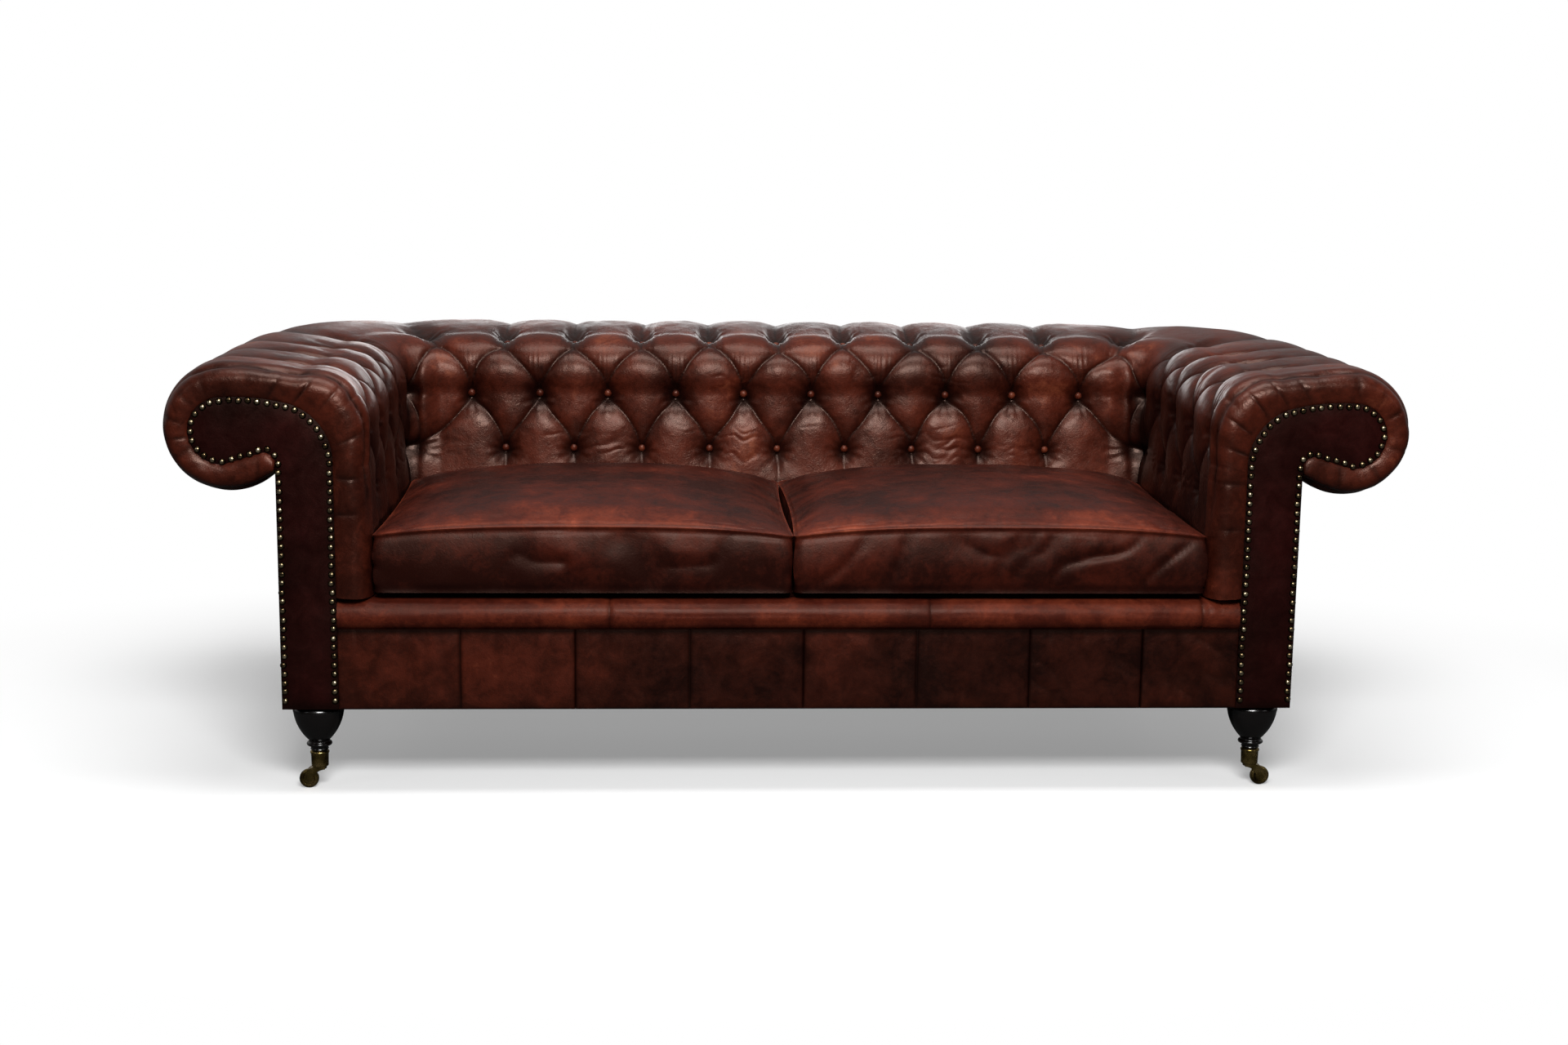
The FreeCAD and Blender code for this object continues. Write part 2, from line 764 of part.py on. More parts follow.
def front_lip():
    """Lip leather in four seamed lengths over one foam roll."""
    leather = float(cell("leather"))
    outer = lip_profile(0)
    inner = lip_profile(leather)
    limit = float(facing_edge)
    edges = [
        Part.Arc(outer[0], outer[1], outer[2]).toShape(),
        Part.LineSegment(outer[2], outer[3]).toShape(),
        Part.LineSegment(outer[3], inner[3]).toShape(),
        Part.LineSegment(inner[3], inner[2]).toShape(),
        Part.Arc(inner[2], inner[1], inner[0]).toShape(),
        Part.LineSegment(inner[0], outer[0]).toShape(),
    ]
    section = Part.Face(Part.Wire(edges))
    seams = [-limit, -limit * 0.405, limit * 0.305, limit * 0.915, limit]
    lengths = []
    for low, high in zip(seams, seams[1:]):
        lengths.append(section.translated(Vector(low, 0, 0)).extrude(ACROSS * (high - low)))
    solid_group("front_lip", lengths)
    deck_foot = float(rail_top + 4 + cell("spring_wire") / 2)
    step = float(post_back) + 20
    back = inner[3].y
    corners = [inner[3], Vector(0, back, deck_foot), Vector(0, step, deck_foot)]
    corners += [Vector(0, step, inner[0].z), inner[0]]
    foam_edges = [
        Part.Arc(inner[0], inner[1], inner[2]).toShape(),
        Part.LineSegment(inner[2], inner[3]).toShape(),
    ]
    foam_edges += [Part.LineSegment(a, b).toShape() for a, b in zip(corners, corners[1:])]
    foam = Part.Face(Part.Wire(foam_edges)).translated(Vector(-limit, 0, 0)).extrude(ACROSS * (2 * limit))
    for item in nodes:
        if item.Name in ("spring_clips", "seat_springs"):
            foam = foam.cut(item.Shape)
    keep(solid_piece("front_lip_foam", foam))


def front_border():
    """Eight leather panels on the front rail, between the arm facings."""
    limit = facing_edge
    seams = [-limit]
    seam = cell("border_start")
    while seam < float(limit) - 60:
        seams.append(seam)
        seam = seam + cell("border_seam")
    seams.append(limit)
    thickness = cell("post_thickness") + facing - board - 5
    panels = []
    for index, (low, high) in enumerate(zip(seams, seams[1:])):
        start = (low, front + 5, underside)
        panels.append(block(f"border_panel_{index}", start, (high - low, thickness, cell("rail_depth"))))
    keep(group("front_border", panels))


# Seat cushions

def cushion_shape(inset, side):
    """Ruled loft of level sections from front to back, with crown, drawn-in sides and round corners."""
    gap = float(cell("cushion_gap"))
    width = float(half_seat) - 2 * gap
    centre = side * (gap / 2 + width / 2)
    y_front = float(front) + 10 + inset
    y_back = float(inside_back) - 9 - gap - inset
    bottom = float(cell("deck_height") + cell("cushion_lift")) + inset * 0.5
    seam = float(seam_height) - inset
    crown = float(cell("cushion_crown"))
    pull = float(cell("cushion_pull"))
    sections = []
    for share, rise in ((0, 0.12), (0.04, 0.45), (0.2, 0.8), (0.5, 1), (0.8, 0.95), (0.96, 0.55), (1, 0.15)):
        y = y_front + share * (y_back - y_front)
        half = width / 2 - inset - pull * 4 * share * (1 - share)
        corners = [
            Vector(centre - half, y, bottom),
            Vector(centre + half, y, bottom),
            Vector(centre + half, y, seam),
            Vector(centre - half, y, seam),
        ]
        drawn = 3
        right = Vector(centre + half - drawn, y, (bottom + seam) / 2)
        left = Vector(centre - half + drawn, y, (bottom + seam) / 2)
        edges = [
            Part.LineSegment(corners[0], corners[1]).toShape(),
            Part.Arc(corners[1], right, corners[2]).toShape(),
            Part.Arc(corners[2], Vector(centre, y, seam + crown * rise), corners[3]).toShape(),
            Part.Arc(corners[3], left, corners[0]).toShape(),
        ]
        sections.append(Part.Wire(edges))
    return Part.makeLoft(sections, True, True)


def seat_cushions():
    thickness = float(cell("leather"))
    for name, side in (("right", 1), ("left", -1)):
        core = cushion_shape(thickness, side)
        cover = cushion_shape(0, side).cut(core)
        keep(solid_piece(f"cushion_cover_{name}", cover))
        keep(solid_piece(f"cushion_core_{name}", core))


# Tufted covers, their foam and buttons

def front_roll():
    """The cover's front end: its outline drawn in towards the facing, as a rounded ring."""
    y_front = float(front)
    depth = float(post_back - front)
    sections = []
    for back, inset in ((0, 38), (0.07, 25), (0.28, 11), (0.62, 2.5), (1, 0)):
        y = y_front + depth * back
        outline = profile(inset)
        tail = outline[-1][0]
        limit = float(panel_inner) - 15
        corners = [tail, (limit, tail[1]), (limit, float(cover_foot)), outline[0][0]]

        def place(u, z, y=y):
            return Vector(float(half_seat) + float(u), y, float(z))

        lines = [(place(*first), place(*last)) for first, last in zip(corners, corners[1:])]
        sections.append(closed(arcs_through(outline, place), lines))
    return Part.makeLoft(sections, True, True)


def arm_cover(name):
    """Tufted inside arm: rounded front, tufted length and its half of the corner."""
    lines, length = button_stations_arm()
    stations = [(0, CORNER_SINKS), (float(cell("corner_gap")), PLAIN_SINKS)]
    stations += lines + [(length, PLAIN_SINKS)]
    sections = []
    for station, sinks in stations:
        sections.append(cover_section(along_arm(station), sinks, 0))
    corner = corner_turn(sections[0], 1, 1)
    cover = Part.makeLoft(sections, True, True).fuse(corner)
    ring = front_roll()
    for item in nodes:
        if item.Name in ("arm_front_post_right", "arm_facing_right"):
            ring = ring.cut(item.Shape)
    _, pockets = button_shapes(arm_button_seats())
    return solid_piece(name, cover.fuse(ring).cut(pockets))


def back_cover():
    rake = float(cell("back_rake"))
    reach = float(half_seat - corner_radius)
    crown = reach - float(cell("corner_gap"))
    half = button_stations_back()
    stations = [(reach, CORNER_SINKS, 0), (crown, PLAIN_SINKS, rake)]
    stations += [(station, sinks, rake) for station, sinks in half[::-1]]
    stations += [(-station, sinks, lean) for station, sinks, lean in stations[::-1] if station > 0]
    sections = [cover_section(along_back(station), sinks, lean) for station, sinks, lean in stations]
    cover = Part.makeLoft(sections, True, True)
    cover = cover.fuse([corner_turn(sections[0], 1, -1), corner_turn(sections[-1], -1, 1)])
    _, pockets = button_shapes(back_button_seats())
    keep(solid_piece("inside_back_cover", cover.cut(pockets)))


def padding():
    """Foam of the arms and the back, with mitred corners."""
    _, length = button_stations_arm()
    lofted = [foam_section(along_arm(station), 0) for station in (0, length)]
    arm = Part.makeLoft(lofted, True, True).fuse(corner_turn(lofted[0], 1, 1))
    right = keep(solid_piece("arm_foam_right", arm))
    keep(mirrored("arm_foam_left", right))
    reach = float(half_seat - corner_radius)
    crown = reach - float(cell("corner_gap"))
    rake = float(cell("back_rake"))
    stations = ((reach, 0), (crown, rake), (-crown, rake), (-reach, 0))
    lofted = [foam_section(along_back(station), lean) for station, lean in stations]
    back = Part.makeLoft(lofted, True, True)
    back = back.fuse([corner_turn(lofted[0], 1, -1), corner_turn(lofted[-1], -1, 1)])
    keep(solid_piece("back_foam", back))


def facing_nails(name):
    """One row of domed nails round the facing, from foot to foot."""
    corners, bends = scroll_outline(0)
    y = float(front)
    start = float(cell("nail_pitch")) / 2 + 3
    edges = []

    def spot_at(point):
        return Vector(float(half_seat + point[0]), y, float(point[1]))

    for side, first in enumerate(corners[:-1]):
        start_spot, end_spot = spot_at(first), spot_at(corners[side + 1])
        if side in bends:
            edges.append(Part.Arc(start_spot, spot_at(bends[side]), end_spot).toShape())
        else:
            edges.append(Part.LineSegment(start_spot, end_spot).toShape())
    row = Part.Wire(edges)
    count = int((row.Length - 2 * start) // float(cell("nail_pitch"))) + 1
    nail = dome(float(cell("nail_diameter")), float(cell("nail_rise")))
    spots = row.discretize(Number=count + 2)[1:-1]
    return solid_piece(name, Part.makeCompound([facing_out(nail, spot, -BACKWARD) for spot in spots]))


def covers():
    def facing_piece(name):
        return scroll_board(name, 6, facing, front)

    both_sides("arm_facing", facing_piece)
    doc.recompute()
    both_sides("inside_arm_cover", arm_cover)
    back_cover()
    keep(solid_piece("back_buttons", Part.makeCompound(button_shapes(back_button_seats())[0])))

    def arm_buttons(name):
        return solid_piece(name, Part.makeCompound(button_shapes(arm_button_seats())[0]))

    pair("arm_buttons", arm_buttons)
    pair("facing_nails", facing_nails)


def outside_covers():
    """Flat covers of the outside arms and back; their top edges follow the roll round the corners."""
    top = on_circle(float(cell("roll_radius")), wall_turn)[1] - 0.5
    rolls = []
    for side in (1, -1):
        roll = doc.addObject("Part::Torus", f"corner_roll_{'right' if side > 0 else 'left'}")
        bind(roll, x=(half_seat - corner_radius) * side, y=inside_back - corner_radius, z=roll_height)
        bind(roll, Radius1=cell("roll_reach") + corner_radius, Radius2=cell("roll_radius") + 0.3)
        rolls.append(roll)
    corner_rolls = group("corner_rolls", rolls)

    def outside_arm(name):
        start = (half_seat + panel_inner, front + facing, underside)
        length = inside_back + wall - front - facing
        panel = block(f"{name}_panel", start, (cell("panel_thickness"), length, top - underside))
        return cut(name, panel, corner_rolls)

    both_sides("outside_arm_cover", outside_arm)
    panel = block(
        "outside_back_panel",
        (-(half_seat + panel_inner), inside_back + panel_inner, underside),
        (2 * (half_seat + panel_inner), cell("panel_thickness"), top - underside),
    )
    keep(cut("outside_back_cover", panel, corner_rolls))


# Legs and castors

def leg(name, x, y):
    """Turned bulb leg with a neck, a bead and a spigot in the castor cup."""
    bulb = cell("leg_diameter") / 2
    foot = cell("leg_foot")
    spigot = cell("cup_diameter") / 2 - 2
    stem = cell("stem_diameter") / 2 + cell("stem_clearance")
    bolt = cell("bolt_diameter") / 2
    top = underside - 1
    rim = cell("cup_top")
    corners = [
        (0, rim - 3), (stem, rim - 3), (stem, foot), (spigot, foot), (spigot, rim),
        (spigot + 2.5, rim + 4), (spigot + 5, rim + 10), (spigot + 5.5, rim + 16), (spigot + 5, rim + 20),
        (bulb, top - 14), (bulb - 7, top), (bolt, top), (bolt, bolt_foot), (0, bolt_foot),
    ]
    bends = {
        5: (spigot + 1.5, rim + 7),
        6: (spigot + 8.5, rim + 13),
        7: (spigot + 4.5, rim + 18),
        8: (bulb - 8, top - 40),
        9: (bulb - 1, top - 4),
    }
    return turned(name, corners, bends, (x, y, 0))


def cup(name, x, y):
    """Tapered brass cup round the leg's spigot, with a hole for the stem."""
    outer = cell("cup_diameter") / 2
    stem = cell("stem_diameter") / 2 + cell("stem_clearance")
    floor_top = cell("leg_foot")
    bottom = cell("cup_bottom")
    corners = [
        (stem, bottom), (outer - 2, bottom), (outer - 0.6, bottom + 3), (outer, cell("cup_top") - 3),
        (outer, cell("cup_top")), (outer - 2, cell("cup_top")), (outer - 2, floor_top), (stem, floor_top),
    ]
    return turned(name, corners, {1: (outer - 0.9, bottom + 1)}, (x, y, 0))


def horn(name, x, y, away):
    """Castor horn: stem, curved neck and two cheeks beside the wheel."""
    trail = float(cell("castor_trail"))
    axle_z = float(cell("wheel_diameter")) / 2
    axle_radius = float(cell("axle_diameter")) / 2
    gap = float(cell("running_gap"))
    width = float(cell("wheel_width")) / 2 + gap
    cheek = 3
    top = float(cell("cup_bottom")) - 0.4
    boss = 7
    corners = [
        Vector(-9, 0, top),
        Vector(9, 0, top),
        Vector(trail + boss, 0, axle_z),
        Vector(trail - boss, 0, axle_z),
        Vector(-9, 0, top - 4),
    ]
    edges = [
        Part.LineSegment(corners[0], corners[1]).toShape(),
        Part.Arc(corners[1], Vector(trail + 2, 0, top - 6), corners[2]).toShape(),
        Part.Arc(corners[2], Vector(trail, 0, axle_z - boss), corners[3]).toShape(),
        Part.Arc(corners[3], Vector(4, 0, top - 9), corners[4]).toShape(),
        Part.LineSegment(corners[4], corners[0]).toShape(),
    ]
    side = Part.Face(Part.Wire(edges)).translated(Vector(0, -width - cheek, 0))
    body = side.extrude(BACKWARD * 2 * (width + cheek))
    wheel_room = axle_z + 1.2
    slot = Part.makeCylinder(wheel_room, 2 * width, Vector(trail, -width, axle_z), BACKWARD)
    floor_slot = Part.makeBox(2 * wheel_room, 2 * width, axle_z, Vector(trail - wheel_room, -width, 0))
    bore_start = Vector(trail, -width - cheek, axle_z)
    bore = Part.makeCylinder(axle_radius, 2 * (width + cheek), bore_start, BACKWARD)
    plate = Part.makeCylinder(11, 3.4, Vector(0, 0, top - 3.4), UP)
    stem = Part.makeCylinder(float(cell("stem_diameter")) / 2, 22, Vector(0, 0, top - 1), UP)
    shape = body.fuse([plate, stem]).cut([slot, floor_slot, bore])
    return placed(name, shape, x, y, away)


def placed(name, shape, x, y, away):
    """Turns a castor piece so that it trails away from the sofa's middle and ties its place."""
    piece = solid_piece(name, shape)
    piece.Placement = Placement(Vector(float(x), float(y), 0), Rotation(UP, 0 if away > 0 else 180))
    return bind(piece, x=x, y=y, z=0)


def wheel(name, x, y, away):
    """Rounded brass wheel turned about its axle."""
    radius = cell("wheel_diameter") / 2
    half = cell("wheel_width") / 2
    bore = cell("axle_diameter") / 2 + cell("stem_clearance")
    round_off = 3.5
    dish = 0.8
    width = 2 * half
    corners = [
        (bore, 0),
        (radius - 6, 0),
        (radius - round_off, dish),
        (radius, dish + round_off),
        (radius, width - dish - round_off),
        (radius - round_off, width - dish),
        (radius - 6, width),
        (bore, width),
    ]
    inset = round_off * (1 - math.sqrt(0.5))
    bends = {2: (radius - inset, dish + inset), 4: (radius - inset, width - dish - inset)}
    body = turned(name, corners, bends, (x + cell("castor_trail") * away, y + half, radius))
    body.Placement.Rotation = Rotation(ACROSS, 90)
    return body


def axle(name, x, y, away):
    half = cell("wheel_width") / 2 + cell("running_gap") + 3
    start = (x + cell("castor_trail") * away, y - half, cell("wheel_diameter") / 2)
    return rod(name, start, BACKWARD, cell("axle_diameter"), 2 * half)


def legs_and_castors():
    cups = []
    for end, y in (("front", front_leg_y), ("rear", back_leg_y)):
        for side_name, away in (("left", -1), ("right", 1)):
            tag = f"{end}_{side_name}"
            x = leg_x * away
            keep(leg(f"leg_{tag}", x, y))
            cups.append(cup(f"castor_cup_{tag}", x, y))
            keep(horn(f"castor_horn_{tag}", x, y, away))
            keep(wheel(f"castor_wheel_{tag}", x, y, away))
            keep(axle(f"castor_axle_{tag}", x, y, away))
    keep(group("castor_cups", cups))


seat_frame()
upper_frame()
seat_springs()
seat_deck()
front_lip()
front_border()
seat_cushions()
padding()
doc.recompute()
covers()
outside_covers()
legs_and_castors()
doc.recompute()

# Every object is sound and every sub-part is a valid shape before anything is written

for item in doc.Objects:
    if "Invalid" in item.State or "Error" in item.State:
        raise RuntimeError(f"{item.Name} failed: {item.State}")
for item in nodes:
    if item.Shape.isNull() or not item.Shape.isValid() or not item.Shape.Solids:
        raise RuntimeError(f"{item.Label} has no valid solid")

os.makedirs("parts", exist_ok=True)
for item in nodes:
    item.Shape.exportStep(f"parts/{item.Label}.step")
    print(f"{item.Label}: {len(item.Shape.Solids)} solids")
print(f"{len(nodes)} sub-parts")
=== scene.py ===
"""Chesterfield sofa: tufted leather, brass nails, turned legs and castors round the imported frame."""
import math

import bmesh
import bpy
import numpy as np
from mathutils import Matrix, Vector
from mathutils.bvhtree import BVHTree
from mathutils.geometry import delaunay_2d_cdt

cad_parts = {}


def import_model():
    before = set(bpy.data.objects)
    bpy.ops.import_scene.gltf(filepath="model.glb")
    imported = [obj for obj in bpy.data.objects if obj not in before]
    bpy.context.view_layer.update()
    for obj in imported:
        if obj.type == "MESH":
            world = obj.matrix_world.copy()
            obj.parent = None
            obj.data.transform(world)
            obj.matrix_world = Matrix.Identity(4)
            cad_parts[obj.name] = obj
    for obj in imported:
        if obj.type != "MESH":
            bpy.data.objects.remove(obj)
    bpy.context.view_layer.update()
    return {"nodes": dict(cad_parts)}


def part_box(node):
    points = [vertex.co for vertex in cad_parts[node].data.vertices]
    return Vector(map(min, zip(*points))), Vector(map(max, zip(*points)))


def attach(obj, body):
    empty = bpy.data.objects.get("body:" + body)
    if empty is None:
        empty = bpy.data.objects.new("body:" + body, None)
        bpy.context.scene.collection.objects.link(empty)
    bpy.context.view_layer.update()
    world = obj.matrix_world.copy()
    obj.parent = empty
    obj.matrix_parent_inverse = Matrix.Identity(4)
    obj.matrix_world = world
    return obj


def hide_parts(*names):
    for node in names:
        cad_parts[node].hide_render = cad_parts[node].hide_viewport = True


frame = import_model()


def low(node):
    return np.array(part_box(node)[0])


def high(node):
    return np.array(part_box(node)[1])


# Places that the frame gives, in metres
FRONT = low("arm_facing_right")[1]
FACING_BACK = high("arm_facing_right")[1]
POST_BACK = high("arm_front_post_right")[1]
FACING_EDGE = low("arm_facing_right")[0]
ARM_TOP = high("inside_arm_cover_right")[2]
COVER_FOOT = low("inside_back_cover")[2]
UNDERSIDE = low("seat_front_rail")[2]
RAIL_TOP = high("seat_front_rail")[2]
OUTER_WALL = high("outside_arm_cover_right")[0]
OUTER_BACK = high("outside_back_cover")[1]
LIP_TOP = high("front_lip")[2]

# Sizes of the upholstery, in metres
HALF_SEAT = 0.705
CORNER_RADIUS = 0.012
INSIDE_BACK = 0.13075
ROLL_RADIUS = 0.109
ROLL_REACH = 0.233
ROLL_HEIGHT = ARM_TOP - ROLL_RADIUS
WALL_REACH = OUTER_WALL - HALF_SEAT
KNEE_HEIGHT = ARM_TOP - 0.119
KNEE_RADIUS = 0.100
CREST_REACH = 0.110
CREST_HEIGHT = ARM_TOP - 0.013
LOWER_ROW = 0.504
UPPER_ROW = 0.6094
COVER_THICKNESS = 0.034
HALF_PITCH = 0.066
BACK_RAKE = 0.030
RAKE_FOOT = 0.400
RAKE_SPAN = 0.220
STRAIGHT_END = HALF_SEAT - CORNER_RADIUS
CORNER_Y = INSIDE_BACK - CORNER_RADIUS
LAST_LINE = 9
BACK_LAST = LAST_LINE * HALF_PITCH
ARM_LAST = 0.111
ARM_LENGTH = CORNER_Y - POST_BACK
CROWN_SPAN = 0.045
MITRE = math.pi / 4
MITRE_STEPS = 18
MITRE_FADE = 0.055
UNRUBBED_SHADED_DEPTH = 0.024
SCROLL_REACH = ROLL_REACH + 0.005
SCROLL_HEIGHT = ROLL_HEIGHT - 0.004
SCROLL_RADIUS = 0.050


# Numbers for shapes

def random_grid(seed, size=64):
    return np.random.default_rng(seed).random((size, size))


def smooth_noise(x, y, seed):
    """Value noise from 0 to 1: random heights on a unit lattice, blended with a cubic fade."""
    table = random_grid(seed)
    size = len(table)
    column, row = np.floor(x).astype(int), np.floor(y).astype(int)
    fx, fy = x - column, y - row
    fx, fy = fx * fx * (3 - 2 * fx), fy * fy * (3 - 2 * fy)
    left = table[row % size, column % size] * (1 - fy) + table[(row + 1) % size, column % size] * fy
    right = table[row % size, (column + 1) % size] * (1 - fy)
    right = right + table[(row + 1) % size, (column + 1) % size] * fy
    return left * (1 - fx) + right * fx


def layered_noise(x, y, seed, octaves=3):
    """Sum of octaves of the value noise, each half as tall and twice as fine, from 0 to 1."""
    total, scale = 0, 0
    for octave in range(octaves):
        share = 0.5 ** octave
        total = total + share * smooth_noise(x * 2 ** octave, y * 2 ** octave, seed + octave)
        scale += share
    return total / scale


def folds(x, y, seed):
    """Sharp valleys where the noise crosses its middle: 0 in the valley, towards 1 away from it."""
    return np.clip(np.abs(2 * smooth_noise(x, y, seed) - 1) * 2.5, 0, 1)


def fade(value, start, end):
    """Smooth step from 0 at start to 1 at end; start may be the larger."""
    share = np.clip((value - start) / (end - start), 0, 1)
    return share * share * (3 - 2 * share)


def bump_at(value, centre, width):
    return np.exp(-((value - centre) / width) ** 2)


def round_rise(distance):
    """Quarter of a squarish circle: 0 with a steep start at 0, level at 1."""
    return np.sqrt(np.clip(1 - (1 - np.clip(distance, 0, 1)) ** 2.6, 0, 1))


def arc_points(first, middle, last, count):
    """Points at even angles on the circle through three points of a plane."""
    ax, ay, bx, by, cx, cy = *first, *middle, *last
    d = 2 * (ax * (by - cy) + bx * (cy - ay) + cx * (ay - by))
    if abs(d) < 1e-9:
        return np.linspace(first, last, count)
    a2, b2, c2 = ax * ax + ay * ay, bx * bx + by * by, cx * cx + cy * cy
    ux = (a2 * (by - cy) + b2 * (cy - ay) + c2 * (ay - by)) / d
    uy = (a2 * (cx - bx) + b2 * (ax - cx) + c2 * (bx - ax)) / d
    radius = math.hypot(ax - ux, ay - uy)
    start = math.atan2(ay - uy, ax - ux)
    turn = math.atan2(cy - uy, cx - ux) - start
    via = (math.atan2(by - uy, bx - ux) - start) % (2 * math.pi)
    turn = turn % (2 * math.pi)
    if via > turn:
        turn -= 2 * math.pi
    angles = start + np.linspace(0, turn, count)
    return np.stack([ux + radius * np.cos(angles), uy + radius * np.sin(angles)], axis=1)


def arc_length(points):
    steps = np.linalg.norm(np.diff(points, axis=0), axis=1)
    return np.concatenate([[0], np.cumsum(steps)])


def sample(points, lengths, at):
    return np.stack([np.interp(at, lengths, points[:, axis]) for axis in range(points.shape[1])], axis=1)


def quarter_turned(along):
    """Unit vectors a quarter turn to the left of the given ones."""
    along = along / np.linalg.norm(along, axis=1, keepdims=True)
    return np.stack([-along[:, 1], along[:, 0]], axis=1)


def spaced(stretches):
    """Rising positions: each stretch is (end, largest step), and the first starts at 0."""
    positions = [np.zeros(1)]
    for end, step in stretches:
        start = positions[-1][-1]
        count = max(1, math.ceil((end - start) / step))
        positions.append(np.linspace(start, end, count + 1)[1:])
    return np.concatenate(positions)


# Meshes

def grid_quads(indices):
    """Quads between the neighbours of a two-dimensional array of vertex numbers."""
    a, b, c, d = indices[:-1, :-1], indices[1:, :-1], indices[1:, 1:], indices[:-1, 1:]
    return np.stack([a, b, c, d], axis=-1).reshape(-1, 4)


def strip(fine, coarse):
    """Triangles that join two rows of vertex numbers of unlike length."""
    match = np.round(np.linspace(0, len(coarse) - 1, len(fine))).astype(int)
    near, far = coarse[match[:-1]], coarse[match[1:]]
    first = np.stack([fine[:-1], fine[1:], near], axis=1)
    moved = near != far
    second = np.stack([fine[1:], far, near], axis=1)[moved]
    return np.concatenate([first, second])


def fan(ring, centre):
    return np.stack([ring, np.roll(ring, -1), np.full(len(ring), centre)], axis=1)


def mesh_object(name, points, quads=(), triangles=(), marks=None, sharp=50):
    """Object from arrays of points and faces; its normals are made to point outwards."""
    points = np.asarray(points, float).reshape(-1, 3)
    quads = np.asarray(quads, int).reshape(-1, 4)
    triangles = np.asarray(triangles, int).reshape(-1, 3)
    mesh = bpy.data.meshes.new(name)
    mesh.vertices.add(len(points))
    mesh.vertices.foreach_set("co", points.astype(np.float32).ravel())
    corners = np.concatenate([quads.ravel(), triangles.ravel()])
    sizes = np.concatenate([np.full(len(quads), 4), np.full(len(triangles), 3)])
    mesh.loops.add(len(corners))
    mesh.loops.foreach_set("vertex_index", corners.astype(np.int32))
    mesh.polygons.add(len(sizes))
    mesh.polygons.foreach_set("loop_start", (np.cumsum(sizes) - sizes).astype(np.int32))
    mesh.update(calc_edges=True)
    for label, values in (marks or {}).items():
        attribute = mesh.attributes.new(label, "FLOAT", "POINT")
        attribute.data.foreach_set("value", np.asarray(values, np.float32).ravel())
    work = bmesh.new()
    work.from_mesh(mesh)
    bmesh.ops.recalc_face_normals(work, faces=work.faces)
    if work.calc_volume(signed=True) < 0:
        bmesh.ops.reverse_faces(work, faces=work.faces)
    work.to_mesh(mesh)
    work.free()
    mesh.shade_smooth()
    mesh.set_sharp_from_angle(angle=math.radians(sharp))
    piece = bpy.data.objects.new(name, mesh)
    bpy.context.scene.collection.objects.link(piece)
    return piece


def refinish(piece, material):
    piece.data.materials.clear()
    piece.data.materials.append(material)


def dress(piece, material, body, slot, *nodes):
    """Gives a finished piece its material and its body, and hides the nodes that it stands for; the slot is not
    used.
    """
    refinish(piece, material)
    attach(piece, body)
    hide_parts(*nodes)


def shell(name, outer, inner, marks=None):
    """Closed shell of a fine outer grid and a coarse inner grid, joined round their edges."""
    rows, columns = outer.shape[:2]
    o = np.arange(rows * columns).reshape(rows, columns)
    i = rows * columns + np.arange(inner.shape[0] * inner.shape[1]).reshape(inner.shape[:2])
    edges = [(o[0], i[0]), (o[-1], i[-1]), (o[:, 0], i[:, 0]), (o[:, -1], i[:, -1])]
    triangles = np.concatenate([strip(fine, coarse) for fine, coarse in edges])
    points = np.concatenate([outer.reshape(-1, 3), inner.reshape(-1, 3)])
    filled = {}
    for label, values in (marks or {}).items():
        filled[label] = np.concatenate([values.ravel(), np.zeros(i.size)])
    return mesh_object(name, points, np.concatenate([grid_quads(o), grid_quads(i)]), triangles, filled, 82)


def ring_mesh(name, grid, marks=None, sharp=60):
    """Closed mesh of stacked rings with a pole in the middle of each end ring."""
    rows, columns = grid.shape[:2]
    index = np.arange(rows * columns).reshape(rows, columns)
    wrapped = np.concatenate([index, index[:, :1]], axis=1)
    points = np.concatenate([grid.reshape(-1, 3), grid[:1].mean(axis=1), grid[-1:].mean(axis=1)])
    caps = np.concatenate([fan(index[0], rows * columns), fan(index[-1], rows * columns + 1)])
    filled = {}
    for label, values in (marks or {}).items():
        filled[label] = np.concatenate([values.ravel(), [values[0, 0], values[-1, 0]]])
    return mesh_object(name, points, grid_quads(wrapped), caps, filled, sharp)


def lathe(name, outline, place, turns, axis="z"):
    """Outline of (radius, height) points turned about an axis; its ends close on the axis."""
    angles = np.linspace(0, 2 * np.pi, turns, endpoint=False)
    radius, height = outline[:, 0, None], outline[:, 1, None]
    a = radius * np.cos(angles)
    b = radius * np.sin(angles)
    c = height + 0 * angles
    order = {"z": (a, b, c), "y": (b, c, a)}[axis]
    return ring_mesh(name, np.stack(order, axis=-1) + np.asarray(place), sharp=40)


# Profile of arms and back

def roll_point(radius, degrees):
    angle = math.radians(degrees)
    return (ROLL_REACH + radius * math.cos(angle), ROLL_HEIGHT + radius * math.sin(angle))


WALL_TURN = -math.degrees(math.pi - math.acos((ROLL_REACH - WALL_REACH - 0.002) / ROLL_RADIUS))


def lean_at(rake, height):
    """How far the inside leans back at a height, for a rake over its whole span."""
    return rake * (height - RAKE_FOOT) / RAKE_SPAN


